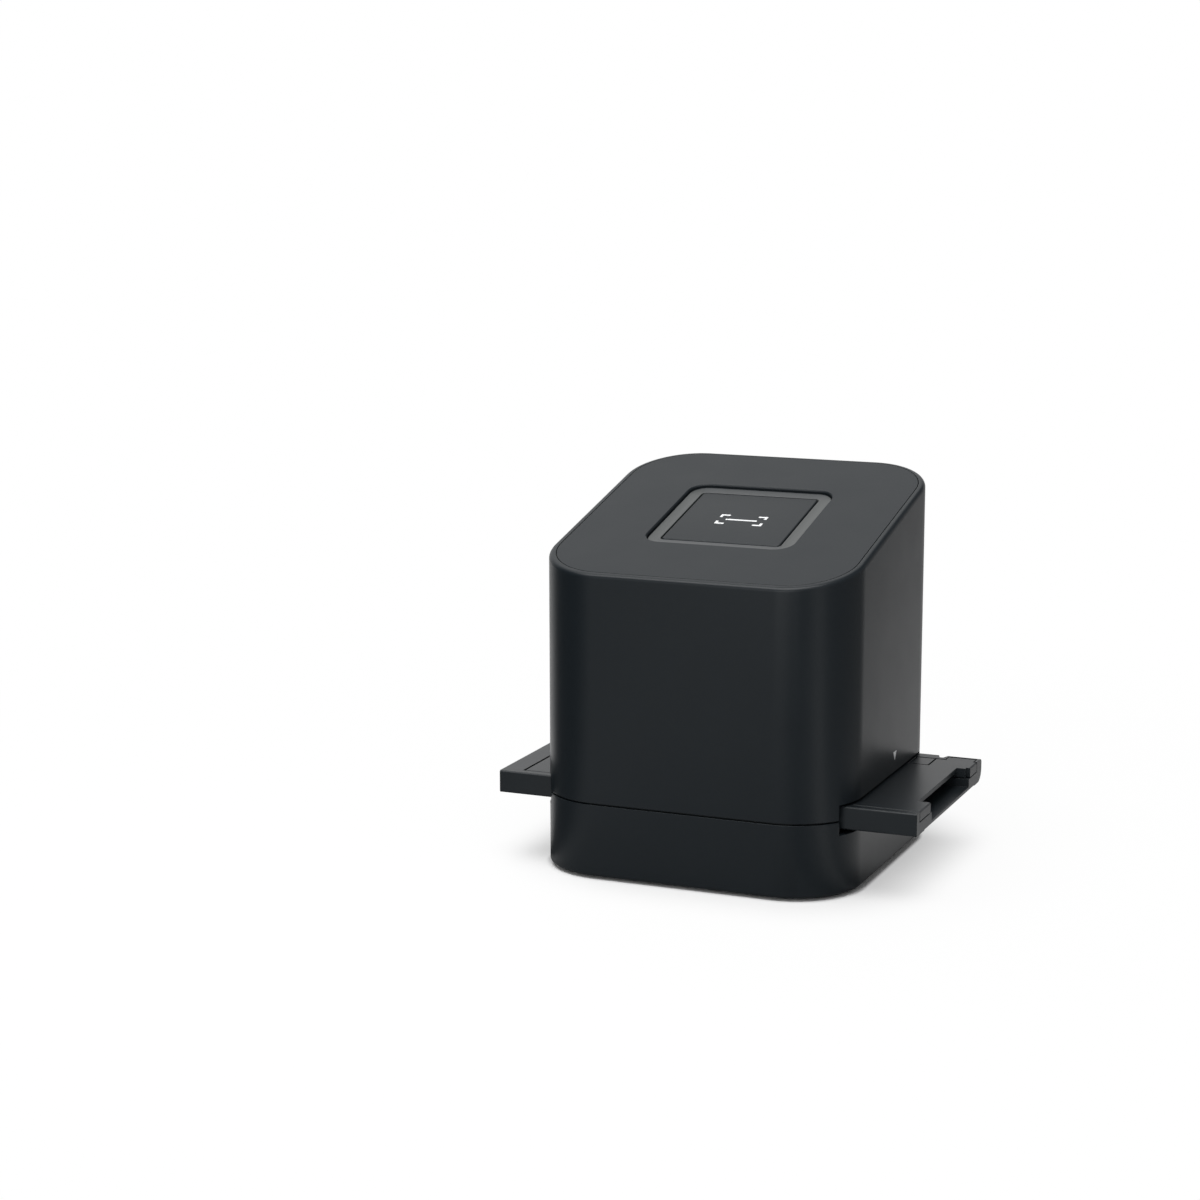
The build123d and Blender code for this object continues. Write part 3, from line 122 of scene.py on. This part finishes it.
# Circuit board: pitch of tracks and pads with the edges of each, solder mask, tin, weave and relief
TRACK_PITCH = 2.6 * MM
TRACK_EDGE = (0.05, 0.08)
PAD_PITCH = 3.4 * MM
PAD_EDGE = (0.12, 0.15)
MASK_TONES = ((0.02, 0.13, 0.05), (0.008, 0.06, 0.026))
PAD_TIN = (0.6, 0.58, 0.52)
BOARD_WEAVE = 0.5 * MM
WEAVE_SHARE = 0.2
BOARD_DEPTH = 0.01 * MM
BOARD_ROUGH = (0.3, 0.12)

# Plain substances: size and relief of their speckle, and spreads of tone and gloss
SPECK = 0.3 * MM
SPECK_DEPTH = 0.004 * MM
SPECK_TONES = (0.85, 1.08)
SPECK_GLOSS = 0.1

# Anodised lens barrel: tones, pitch and relief of its turning rings, cells of its wear, and roughness
ANODISED_TONES = ((0.018, 0.018, 0.02), (0.04, 0.04, 0.042))
TURNING_PITCH = 0.5 * MM
TURNING_DEPTH = 0.02 * MM
WEAR = 0.8 * MM
ANODISED_METAL = 0.6
ANODISED_ROUGH = (0.36, 0.1)

# Sensor glass: tones, pitch and relief of its grid, cells of its tint, and roughness
SENSOR_TONES = ((0.012, 0.02, 0.03), (0.035, 0.022, 0.04))
SENSOR_PITCH = 0.12 * MM
SENSOR_DEPTH = 0.001 * MM
SENSOR_TINT = 4 * MM
SENSOR_ROUGH = (0.08, 0.02)

# Ribbon cable: tones of its film and conductors, pitch, edge and relief of these, and roughness
FILM_TONES = ((0.5, 0.52, 0.56), (0.66, 0.68, 0.7))
CONDUCTOR = (0.3, 0.31, 0.33)
CONDUCTOR_PITCH = 1.0 * MM
CONDUCTOR_EDGE = (-0.3, 0.2)
CONDUCTOR_DEPTH = 0.03 * MM
FILM_CLOUD = 3 * MM
FILM_ROUGH = (0.36, 0.1)

# Camera at the photograph's viewing angle
CAMERA_PLACE = (241.381 * MM, -666.797 * MM, 204.270 * MM)
CAMERA_AZIMUTH = 22.927
CAMERA_PITCH = 10.8375
CAMERA_ROLL = -0.085
CAMERA_LENS = 80.541
CAMERA_FILM = 36.0

# Floor: pale paper that fades to white. The shadow is soft at the case's foot, then fades over SHADOW_REACH.
FLOOR_HALF = 1600 * MM
FLOOR_PALE = 0.86
PAPER_FIBRE = 0.8 * MM
PAPER_TONE = 0.98
FADE = (90 * MM, 320 * MM)
CASE_CORNER = 18.5 * MM
CONTACT_REACH = 1.5 * MM
CONTACT_LIFT = 0.47
SHADOW_REACH = 23 * MM
SHADOW_LIFT = 0.44

# Floor as the case mirrors it: a painted reflection, whiter close by on the right and behind, and elsewhere
# painted light and shade as bright as the room
PAINTED_REFLECTION_LIFT = 0.7
MIRROR_LEAN = 0.5
MIRROR_EDGE = (0.0, 30 * MM)
MIRROR_NEAR = (90 * MM, 140 * MM)
ROOM_FRONT = 25 * MM

# Room round the scanner. Angles are in degrees from the front, positive to the right. A panel gives where it
# starts, is full, fades and ends, then its gain. The sweep behind gives its two edges and gain on each side.
ROOM_DARK = 0.08
FRONT_PANEL = (-44, -22, -6, 8, 0.43)
SIDE_FILL = (2, 34, 130, 150, 0.23)
SIDE_STRIP = (40, 48, 58, 66, 0.7)
SWEEP_LEFT = (-120, -96, 0.8)
SWEEP_RIGHT = (146, 164, 0.58)

# A flag shades the sweep where a direction is both high and to the right: edges of its height and side
FLAG_HEIGHT = (0.15, 0.5)
FLAG_SIDE = (-0.25, 0.2)

# Softboxes: place, size and power, all facing one point of the scanner
LAMP_TARGET = (0, 0, 50 * MM)
TOP_LAMP = ((-150 * MM, -250 * MM, 1250 * MM), (1100 * MM, 900 * MM), 15)
FRONT_LAMP = ((0.0, -1250 * MM, 450 * MM), (800 * MM, 800 * MM), 4.2)


class Wire:
    """One socket of a node tree. Arithmetic on wires and numbers adds Math nodes to the tree."""

    def __init__(self, tree, socket=None):
        self.tree = tree
        self.socket = socket

    def node(self, kind, settings=None, inputs=None, output=0):
        """Adds a node, sets its settings and then its sockets, and wires the output that is asked for."""
        made = self.tree.nodes.new(kind)
        for name, value in (settings or {}).items():
            setattr(made, name, value)
        for name, value in (inputs or {}).items():
            if isinstance(value, Wire):
                self.tree.links.new(value.socket, made.inputs[name])
            else:
                made.inputs[name].default_value = value
        return Wire(self.tree, made.outputs[output] if made.outputs else None)

    def math(self, operation, *values):
        return self.node("ShaderNodeMath", {"operation": operation}, dict(enumerate(values)))

    def __add__(self, other):
        return self.math("ADD", self, other)

    def __radd__(self, other):
        return self.math("ADD", other, self)

    def __sub__(self, other):
        return self.math("SUBTRACT", self, other)

    def __rsub__(self, other):
        return self.math("SUBTRACT", other, self)

    def __mul__(self, other):
        return self.math("MULTIPLY", self, other)

    def __rmul__(self, other):
        return self.math("MULTIPLY", other, self)

    def __abs__(self):
        return self.math("ABSOLUTE", self)


def smoothstep(value, low, high):
    """0 below low, 1 above high, and an S between."""
    return value.node("ShaderNodeMapRange", {"interpolation_type": "SMOOTHSTEP"},
                      {"Value": value, "From Min": low, "From Max": high}, "Result")


def blend(factor, first, second):
    """A colour between two colours."""
    ends = [colour if isinstance(colour, Wire) else (*colour, 1.0) for colour in (first, second)]
    return factor.node("ShaderNodeMix", {"data_type": "RGBA"}, {0: factor, 6: ends[0], 7: ends[1]}, 2)


def shade(colour, gain):
    """A colour made lighter or darker."""
    return tuple(min(1.0, part * gain) for part in colour)


def tones(factor, colour, ends):
    """A colour that varies between a darker and a lighter shade of itself."""
    return blend(factor, shade(colour, ends[0]), shade(colour, ends[1]))


def varied(base_and_spread, factor):
    """A value that rises from its base by its spread as the factor goes from 0 to 1."""
    base, spread = base_and_spread
    return base + factor * spread


def along(place, axis):
    """A coordinate of a place: its part along X, Y or Z."""
    return place.node("ShaderNodeSeparateXYZ", {}, {0: place}, axis)


def noise(place, cell, detail=2.0, stretch=(1.0, 1.0, 1.0)):
    """Noise with cells of about the given size, drawn out along the axes by stretch."""
    scale = tuple(1 / (cell * part) for part in stretch)
    scaled = place.node("ShaderNodeMapping", {}, {"Vector": place, "Scale": scale})
    return scaled.node("ShaderNodeTexNoise", {}, {"Vector": scaled, "Scale": 1.0, "Detail": detail}, "Fac")


def waves(coordinate, pitch):
    """Ridges from -1 to 1 along a coordinate, one for each pitch."""
    return coordinate.math("SINE", coordinate * (2 * np.pi / pitch))


def cells(place, size, settings, output):
    """Voronoi cells of about the given size."""
    return place.node("ShaderNodeTexVoronoi", settings, {"Vector": place, "Scale": 1 / size}, output)


def relief(height, depth, edge=None):
    """A normal with the height as relief of the given depth. With an edge radius, edges are shaded round."""
    inputs = {"Height": height, "Distance": depth, "Strength": 1.0}
    if edge:
        inputs["Normal"] = height.node("ShaderNodeBevel", {"samples": EDGE_SAMPLES}, {"Radius": edge})
    return height.node("ShaderNodeBump", {}, inputs)


def finish(name):
    """Starts a material and gives its Object coordinates."""
    material = bpy.data.materials.new(name)
    material.use_nodes = True
    material.node_tree.nodes.clear()
    return material, Wire(material.node_tree).node("ShaderNodeTexCoord", output="Object")


def close(material, place, inputs):
    """Ends a material with one principled shader that takes these sockets."""
    shader = place.node("ShaderNodeBsdfPrincipled", {}, inputs)
    place.node("ShaderNodeOutputMaterial", {}, {"Surface": shader})
    return material


def satin_plastic(name, colour, roughness):
    """Moulded plastic: fine spark-eroded grain in relief and gloss, and a faint cloud in its tone."""
    material, place = finish(name)
    pits = noise(place, GRAIN, 3.0)
    cloud = noise(place, CLOUD)
    return close(material, place, {
        "Base Color": tones(cloud * CLOUD_SHARE + pits * (1 - CLOUD_SHARE), colour, PLASTIC_TONES),
        "Roughness": varied((roughness, PLASTIC_GLOSS), cloud + pits - 1.0),
        "Specular IOR Level": SHINE,
        "Normal": relief(pits, GRAIN_DEPTH, EDGE_ROUND)})


def light_guide(name):
    """Smoked light guide with fine drag lines. The legs to left and right have another tone than those in front
    and behind, painted light and shade for how the light falls on each leg."""
    material, place = finish(name)
    up_slope = place.node("ShaderNodeVectorMath", {"operation": "DOT_PRODUCT"},
                          {0: place, 1: tuple(TOP_V)}, "Value")
    away = abs(along(place, "X")) - abs(up_slope - float(TOP_MIDDLE @ TOP_V))
    # Painted light and shade: the legs to left and right get another tone than those in front and behind
    painted_light_sides = smoothstep(away, -LEG_BLEND, LEG_BLEND)
    drag = noise(place, DRAG_LINE, 2.0, DRAG_STRETCH)
    return close(material, place, {
        "Base Color": blend(painted_light_sides, blend(drag, *GUIDE_SMOKE), blend(drag, *GUIDE_SIDE_PAINTED_LIGHT)),
        "Roughness": varied(GUIDE_ROUGH, drag),
        "Specular IOR Level": GUIDE_SHINE,
        "Normal": relief(drag, DRAG_DEPTH)})


def rubber(name):
    """Soft rubber: matt, with a mottled bloom."""
    material, place = finish(name)
    bloom = noise(place, BLOOM, 4.0)
    return close(material, place, {
        "Base Color": blend(bloom, *RUBBER_TONES),
        "Roughness": varied(RUBBER_ROUGH, bloom),
        "Normal": relief(bloom, BLOOM_DEPTH)})


def metal(name, colour, roughness, stretch):
    """Plain metal with fine drawing lines along the stretched axis."""
    material, place = finish(name)
    lines = noise(place, DRAWN_LINE, 3.0, stretch)
    return close(material, place, {
        "Base Color": tones(lines, colour, METAL_TONES),
        "Metallic": 1.0,
        "Roughness": varied((roughness, METAL_GLOSS), lines),
        "Normal": relief(lines, DRAWN_DEPTH)})


def circuit_board(name):
    """Green solder mask over copper tracks, with tinned rings round the through-holes."""
    material, place = finish(name)
    track = smoothstep(cells(place, TRACK_PITCH, {"feature": "DISTANCE_TO_EDGE"}, "Distance"), *TRACK_EDGE)
    ring = smoothstep(cells(place, PAD_PITCH, {}, "Distance"), *PAD_EDGE)
    weave = noise(place, BOARD_WEAVE)
    return close(material, place, {
        "Base Color": blend(ring, PAD_TIN, blend(track, *MASK_TONES)),
        "Metallic": 1.0 - ring,
        "Roughness": varied(BOARD_ROUGH, weave),
        "Normal": relief(track + weave * WEAVE_SHARE, BOARD_DEPTH)})


def speckled(name, colour, roughness, cell=SPECK, **sockets):
    """A plain moulded or cast substance: fine speckle in tone, gloss and relief."""
    material, place = finish(name)
    speck = noise(place, cell, 3.0)
    return close(material, place, {
        "Base Color": tones(speck, colour, SPECK_TONES),
        "Roughness": varied((roughness, SPECK_GLOSS), speck),
        "Normal": relief(speck, SPECK_DEPTH),
        **{key.replace("_", " "): value for key, value in sockets.items()}})


def turned_metal(name):
    """Black anodised aluminium with turning rings along the lens axis."""
    material, place = finish(name)
    rings = waves(along(place, "Z"), TURNING_PITCH)
    wear = noise(place, WEAR, 3.0)
    return close(material, place, {
        "Base Color": blend(wear, *ANODISED_TONES),
        "Metallic": ANODISED_METAL,
        "Roughness": varied(ANODISED_ROUGH, wear),
        "Normal": relief(rings, TURNING_DEPTH)})


def sensor_window(name):
    """Cover glass over a sensor: dark, with the faint grid of its cells."""
    material, place = finish(name)
    grid = waves(along(place, "X"), SENSOR_PITCH) * waves(along(place, "Y"), SENSOR_PITCH)
    tint = noise(place, SENSOR_TINT)
    return close(material, place, {
        "Base Color": blend(tint, *SENSOR_TONES),
        "Roughness": varied(SENSOR_ROUGH, grid),
        "Normal": relief(grid, SENSOR_DEPTH)})


def ribbon_film(name):
    """Flat ribbon cable: tinned conductors side by side in a pale film."""
    material, place = finish(name)
    wires = smoothstep(waves(along(place, "X"), CONDUCTOR_PITCH), *CONDUCTOR_EDGE)
    film = noise(place, FILM_CLOUD)
    return close(material, place, {
        "Base Color": blend(wires, blend(film, *FILM_TONES), CONDUCTOR),
        "Roughness": varied(FILM_ROUGH, film),
        "Normal": relief(wires, CONDUCTOR_DEPTH)})


def make_finishes():
    """Every finish of the scanner by the name of its material slot, with its colour, roughness and cell."""
    return {
        "case_plastic": satin_plastic("case_plastic", CHARCOAL, 0.34),
        "panel_plastic": satin_plastic("panel_plastic", CHARCOAL, 0.42),
        "ring_plastic": light_guide("ring_plastic"),
        "button_plastic": satin_plastic("button_plastic", SOFT_CHARCOAL, 0.42),
        "holder_plastic": satin_plastic("holder_plastic", SOFT_CHARCOAL, 0.36),
        "foot_rubber": rubber("foot_rubber"),
        "screw_steel": metal("screw_steel", (0.6, 0.6, 0.58), 0.3, (1.0, 1.0, 6.0)),
        "spring_steel": metal("spring_steel", (0.66, 0.65, 0.62), 0.24, (12.0, 1.0, 1.0)),
        "socket_steel": metal("socket_steel", (0.64, 0.64, 0.63), 0.22, (1.0, 12.0, 1.0)),
        "board_green": circuit_board("board_green"),
        "chip_black": speckled("chip_black", (0.022, 0.022, 0.023), 0.5, 0.12 * MM),
        "connector_white": speckled("connector_white", (0.74, 0.7, 0.6), 0.42),
        "led_white": speckled("led_white", (0.8, 0.74, 0.5), 0.3, 0.1 * MM),
        "reflector_white": speckled("reflector_white", (0.82, 0.83, 0.83), 0.5),
        "diffuser_milk": speckled("diffuser_milk", (0.84, 0.85, 0.86), 0.5, 0.2 * MM,
                                  Transmission_Weight=0.25),
        "optic_black": speckled("optic_black", (0.014, 0.014, 0.015), 0.8, 0.2 * MM),
        "lens_metal": turned_metal("lens_metal"),
        "lens_glass": speckled("lens_glass", (0.9, 0.94, 0.96), 0.01, 2 * MM,
                               Transmission_Weight=1.0, IOR=1.52),
        "sensor_glass": sensor_window("sensor_glass"),
        "ribbon_film": ribbon_film("ribbon_film"),
        "mark_white": speckled("mark_white", (0.9, 0.91, 0.92), 0.5, 0.25 * MM),
    }


def grid_faces(rows, columns):
    """Quads between the rows and columns of a grid that closes on itself both ways."""
    row, column = np.meshgrid(np.arange(rows), np.arange(columns), indexing="ij")
    row_next, column_next = (row + 1) % rows, (column + 1) % columns
    quads = np.stack([row * columns + column, row_next * columns + column,
                      row_next * columns + column_next, row * columns + column_next], axis=-1)
    return quads.reshape(-1, 4)


def rounded_square(half, corner, steps=10):
    """Plan of a square with quarter-circle corners, anticlockwise: one row of points for each half side."""
    half, corner = np.atleast_1d(half)[:, None], np.atleast_1d(corner)[:, None]
    quarter = np.arange(4)[:, None] * np.pi / 2
    angle = (quarter + np.linspace(0, np.pi / 2, steps)).reshape(-1)
    middle = np.repeat(quarter + np.pi / 4, steps, axis=1).reshape(-1)
    out = (half - corner) * np.sqrt(2)
    return out * np.cos(middle) + corner * np.cos(angle), out * np.sin(middle) + corner * np.sin(angle)


def softened(corner_before, corner, corner_after, size, steps=6):
    """A profile's corner as a curve: it leaves one side and joins the other at the given distance, drawn in
    towards the corner as a quadratic curve is."""
    before, at, after = (np.asarray(point) for point in (corner_before, corner, corner_after))
    start = at + (before - at) * size / np.linalg.norm(before - at)
    end = at + (after - at) * size / np.linalg.norm(after - at)
    t = np.linspace(0, 1, steps)[:, None]
    return start * (1 - t) ** 2 + 2 * at * t * (1 - t) + end * t ** 2


def on_top(u, v, depth):
    """Points of the sloped top from their places along it and their depths under it."""
    spread = [np.asarray(part)[..., None] for part in np.broadcast_arrays(u, v, depth)]
    return TOP_MIDDLE + spread[0] * TOP_U + spread[1] * TOP_V - spread[2] * TOP_N


def add_piece(name, points, faces, material, body):
    """A mesh piece from its points and faces, riding on a body."""
    mesh = bpy.data.meshes.new(name)
    rows = faces.tolist() if isinstance(faces, np.ndarray) else faces
    mesh.from_pydata(np.reshape(points, (-1, 3)).tolist(), [], rows)
    mesh.materials.append(material)
    mesh.validate()
    piece = bpy.data.objects.new(name, mesh)
    bpy.context.scene.collection.objects.link(piece)
    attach(piece, body)
    return piece


def slab(u_ends, v_ends, depth_ends):
    """A block in the axes of the sloped top: every pairing of two ends along, across and under it."""
    u, v, depth = np.meshgrid(u_ends, v_ends, depth_ends, indexing="ij")
    return on_top(u, v, depth).reshape(-1, 3)


def join_slabs(slabs):
    """Points and faces of several blocks as one mesh."""
    first = len(slabs[0]) * np.arange(len(slabs))[:, None, None]
    return np.concatenate(slabs), (SLAB_FACES + first).reshape(-1, 4)


def light_ring():
    """The ring round the button: a closed profile carried round a square with round corners. From the inside
    the profile climbs the inner wall, crosses a dish that sags by half a sine wave, turns over the soft outer
    edge and goes round the flange below. Each corner's radius grows by as much as the profile stands out."""
    t = np.linspace(0, 1, DISH_STEPS)[1:-1]
    dish = np.stack([RING_INNER + t * (RING_OUTER - RING_INNER),
                     RING_TOP + RING_DISH * (1 - t) + RING_SAG * np.sin(np.pi * t)], axis=1)
    low, lip = (RING_INNER, RING_LOW), (RING_INNER, RING_TOP + RING_DISH)
    brim, wall = (RING_OUTER, RING_TOP), (RING_OUTER, RING_FLANGE_TOP)
    under = [(RING_FLANGE, RING_FLANGE_TOP), (RING_FLANGE, RING_FLANGE_LOW),
             (RING_OUTER, RING_FLANGE_LOW), (RING_OUTER, RING_LOW)]
    profile = np.concatenate([[low], softened(low, lip, dish[0], RING_EDGE / 2), dish[1:-1],
                              softened(dish[-1], brim, wall, RING_EDGE / 2), [wall], under])
    u, v = rounded_square(profile[:, 0], RING_CORNER + profile[:, 0] - RING_INNER)
    body = on_top(u, v, profile[:, 1:])
    foot = TOP_HEIGHT + reach("light_ring", -TOP_N)
    thick, half = RING_LEG_HALF
    legs = [slab(side * (RING_OUTER - thick) + np.array([-thick, thick]), (-half, half), (foot, RING_LOW))
            for side in (-1, 1)]
    leg_points, leg_faces = join_slabs(legs)
    points = np.concatenate([body.reshape(-1, 3), leg_points])
    faces = np.concatenate([grid_faces(*body.shape[:2]), leg_faces + body.shape[0] * body.shape[1]])
    ring = add_piece("light_ring_dish", points, faces, finishes["ring_plastic"], "housing")
    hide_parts("light_ring")
    return ring


def scan_sign():
    """The sign printed on the button: a bar between the four corners of a frame, each a pair of strokes."""
    across, up = SIGN_HALF
    face = TOP_HEIGHT - reach("scan_button", TOP_N)
    depth = (face + PRINT_THICK, face - PRINT_THICK)
    strokes = [((-SIGN_BAR_HALF, SIGN_BAR_HALF), (-SIGN_STROKE / 2, SIGN_STROKE / 2))]
    for side in (-1, 1):
        for end in (-1, 1):
            strokes.append((np.sort([side * (across - SIGN_ARM), side * across]),
                            np.sort([end * (up - SIGN_STROKE), end * up])))
            strokes.append((np.sort([side * (across - SIGN_STROKE), side * across]),
                            np.sort([end * (up - SIGN_LEG), end * (up - SIGN_STROKE)])))
    slabs = [slab(np.add(u, SIGN_MIDDLE[0]), np.add(v, SIGN_MIDDLE[1]), depth) for u, v in strokes]
    return add_piece("scan_sign", *join_slabs(slabs), finishes["mark_white"], "scan_button")


def slot_arrow():
    """The arrow printed above the slot: a triangle that points down, as a thin prism on the right wall."""
    y = ARROW_TIP[0] + np.array([0.0, ARROW_HALF, -ARROW_HALF])
    z = ARROW_TIP[1] + np.array([0.0, ARROW_LENGTH, ARROW_LENGTH])
    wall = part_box("upper_shell")[1][0]
    points = [np.stack([np.full(3, x), y, z], axis=1) for x in (wall - PRINT_THICK, wall + PRINT_THICK)]
    faces = [(3, 4, 5), (0, 2, 1), (0, 1, 4, 3), (1, 2, 5, 4), (2, 0, 3, 5)]
    return add_piece("slot_arrow", points, faces, finishes["mark_white"], "housing")


def smooth_group():
    """A node group that merges a mesh's loose triangles, shades it smooth and keeps its sharp edges."""
    group = bpy.data.node_groups.new("smooth_between_edges", "GeometryNodeTree")
    for direction in ("INPUT", "OUTPUT"):
        group.interface.new_socket("Geometry", in_out=direction, socket_type="NodeSocketGeometry")
    tree = Wire(group)
    given = tree.node("NodeGroupInput")
    merged = tree.node("GeometryNodeMergeByDistance", {}, {"Geometry": given, "Distance": MERGE})
    smooth = tree.node("GeometryNodeSetShadeSmooth", {"domain": "FACE"}, {"Geometry": merged})
    bend = tree.node("GeometryNodeInputMeshEdgeAngle")
    sharp = tree.node("FunctionNodeCompare", {"operation": "GREATER_THAN"}, {0: bend, 1: float(SHARP_ANGLE)})
    creased = tree.node("GeometryNodeSetShadeSmooth", {"domain": "EDGE"},
                        {"Geometry": smooth, "Selection": sharp, "Shade Smooth": False})
    tree.node("NodeGroupOutput", {}, {"Geometry": creased})
    return group


def place_camera():
    """The camera's axes: turned by its azimuth about Z, pitched down, and rolled about its line of sight."""
    turn = np.radians([CAMERA_AZIMUTH, CAMERA_PITCH, CAMERA_ROLL])
    (cos_turn, cos_pitch, cos_roll), (sin_turn, sin_pitch, sin_roll) = np.cos(turn), np.sin(turn)
    right = np.array([cos_turn, sin_turn, 0.0])
    ahead = np.array([-sin_turn * cos_pitch, cos_turn * cos_pitch, -sin_pitch])
    above = np.cross(right, ahead)
    across, up = cos_roll * right + sin_roll * above, cos_roll * above - sin_roll * right
    axes = np.stack([across, up, -ahead], axis=1)
    data = bpy.data.cameras.new("camera")
    data.lens = CAMERA_LENS
    data.sensor_width = CAMERA_FILM
    camera = bpy.data.objects.new("camera", data)
    bpy.context.scene.collection.objects.link(camera)
    camera.matrix_world = Matrix.Translation(CAMERA_PLACE) @ Matrix(axes.tolist()).to_4x4()
    bpy.context.scene.camera = camera


def softbox(name, place, size, power):
    """A rectangular lamp that faces the scanner."""
    data = bpy.data.lights.new(name, "AREA")
    data.shape = "RECTANGLE"
    data.size, data.size_y = size
    data.energy = power
    lamp = bpy.data.objects.new(name, data)
    bpy.context.scene.collection.objects.link(lamp)
    facing = (Vector(LAMP_TARGET) - Vector(place)).to_track_quat("-Z", "Y")
    lamp.matrix_world = Matrix.Translation(place) @ facing.to_matrix().to_4x4()


def room_light(x, y):
    """How bright the room is in a direction: dark with a panel in front and a lit side, and apart from these
    the sweep behind. Each edge is a smooth step of the direction's angle from the front."""
    turn = x.math("DEGREES", x.math("ARCTAN2", x, -1 * y))
    level = ROOM_DARK
    for start, full, fade, end, gain in (FRONT_PANEL, SIDE_FILL, SIDE_STRIP):
        level = level + gain * smoothstep(turn, start, full) * (1 - smoothstep(turn, fade, end))
    full, start, gain = SWEEP_LEFT
    sweep = gain * (1 - smoothstep(turn, full, start))
    start, full, gain = SWEEP_RIGHT
    return level, sweep + gain * smoothstep(turn, start, full)


def light_studio():
    """White for the camera and through glass, and the room's own light for every other ray, with two
    softboxes."""
    world = bpy.data.worlds.new("studio")
    world.use_nodes = True
    world.node_tree.nodes.clear()
    bpy.context.scene.world = world
    tree = Wire(world.node_tree)
    looks = [tree.node("ShaderNodeLightPath", output=ray) for ray in ("Is Camera Ray", "Is Transmission Ray")]
    seen = looks[0] + looks[1]
    towards = tree.node("ShaderNodeTexCoord", output="Generated")
    level, sweep = room_light(along(towards, "X"), along(towards, "Y"))
    flag = smoothstep(along(towards, "Z"), *FLAG_HEIGHT) * smoothstep(along(towards, "X"), *FLAG_SIDE)
    strength = seen.math("MAXIMUM", seen, level + sweep * (1 - flag))
    sky = tree.node("ShaderNodeBackground", {}, {"Color": (1, 1, 1, 1), "Strength": strength})
    tree.node("ShaderNodeOutputWorld", {}, {"Surface": sky})
    softbox("top_lamp", *TOP_LAMP)
    softbox("front_lamp", *FRONT_LAMP)


def floor_paper():
    """White paper with the scanner's soft shadow. For the camera it rises from its lit tone to pure white with the
    distance from the case's foot, a rounded rectangle. For the case its colour is painted light and shade, as
    bright as the room in that direction from its walls, and mirror rays find a painted reflection on it, a white
    glow close by on the right and behind."""
    material, place = finish("floor_paper")
    seen = place.node("ShaderNodeLightPath", output="Is Camera Ray")
    x, y = along(place, "X"), along(place, "Y")
    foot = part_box("base_shell")[1]
    past = [place.math("MAXIMUM", abs(part) - (half - CASE_CORNER), 0.0) for part, half in zip((x, y), foot)]
    clear = place.math("SQRT", past[0] * past[0] + past[1] * past[1]) - CASE_CORNER
    far = place.node("ShaderNodeVectorMath", {"operation": "LENGTH"}, {0: place}, "Value")
    lift = (CONTACT_LIFT * smoothstep(clear, 0.0, CONTACT_REACH)
            + SHADOW_LIFT * smoothstep(clear, 0.0, SHADOW_REACH)
            + (1 - CONTACT_LIFT - SHADOW_LIFT) * smoothstep(far, *FADE))
    beyond = x - x.math("MAXIMUM", x.math("MINIMUM", x, foot[0]), -foot[0])
    # Painted light and shade: for every ray but the camera's, the floor's colour is the room's brightness in that
    # direction
    level, sweep = room_light(beyond, y + ROOM_FRONT)
    tone = level + sweep
    room = place.node("ShaderNodeCombineColor", {}, {0: tone, 1: tone, 2: tone})
    pale = (FLOOR_PALE,) * 3
    paper = blend(seen, room, blend(noise(place, PAPER_FIBRE), pale, shade(pale, PAPER_TONE)))
    lit = place.node("ShaderNodeBsdfDiffuse", {}, {"Color": paper})
    white = place.node("ShaderNodeEmission", {}, {"Strength": 1.0})
    # Painted reflection: mirror rays see a white glow on the floor close by on the right and behind
    beside = smoothstep(y + MIRROR_LEAN * x, *MIRROR_EDGE)
    near = 1 - smoothstep(far, *MIRROR_NEAR)
    painted_reflection = place.node("ShaderNodeLightPath", output="Is Glossy Ray") * beside * near
    whiteness = (seen + PAINTED_REFLECTION_LIFT * painted_reflection) * lift
    both = place.node("ShaderNodeMixShader", {}, {0: whiteness, 1: lit, 2: white})
    place.node("ShaderNodeOutputMaterial", {}, {"Surface": both})
    return material


def lay_floor():
    """A square of paper that reaches far past the scanner."""
    corners = FLOOR_HALF * np.array([(-1, -1, 0), (1, -1, 0), (1, 1, 0), (-1, 1, 0)])
    mesh = bpy.data.meshes.new("floor")
    mesh.from_pydata(corners.tolist(), [], [(0, 1, 2, 3)])
    mesh.materials.append(floor_paper())
    floor = bpy.data.objects.new("floor", mesh)
    bpy.context.scene.collection.objects.link(floor)


def reach(node, direction):
    """How far a node's mesh goes along a direction."""
    mesh = frame["nodes"][node].data
    points = np.empty(3 * len(mesh.vertices))
    mesh.vertices.foreach_get("co", points)
    return float((points.reshape(-1, 3) @ direction).max())


# Axes of the sloped top, from the direction in which the button is pressed, and the middle of its plane
PRESS = np.array(next(joint["axis"] for joint in frame["joints"] if joint["name"] == "button_press"))
TOP_N = -PRESS / np.linalg.norm(PRESS)
TOP_U = np.array([1.0, 0.0, 0.0])
TOP_V = np.cross(TOP_N, TOP_U)
TOP_HEIGHT = reach("top_panel", TOP_N)
TOP_MIDDLE = np.array([0.0, 0.0, TOP_HEIGHT / TOP_N[2]])

# Faces of a block whose corners are numbered along, across and down to up
SLAB_FACES = np.array([(0, 1, 3, 2), (4, 6, 7, 5), (0, 4, 5, 1), (2, 3, 7, 6), (0, 2, 6, 4), (1, 5, 7, 3)])

place_camera()
light_studio()
lay_floor()
finishes = make_finishes()
pieces = [light_ring(), scan_sign(), slot_arrow()]
smooth = smooth_group()
for part in frame["record"]["subparts"]:
    node = frame["nodes"][part["node"]]
    for slot in node.material_slots:
        slot.material = finishes[part["material_slot"]]
    pieces.append(node)
for piece in pieces:
    piece.modifiers.new("smooth", "NODES").node_group = smooth
bpy.context.scene.view_settings.view_transform = "Standard"
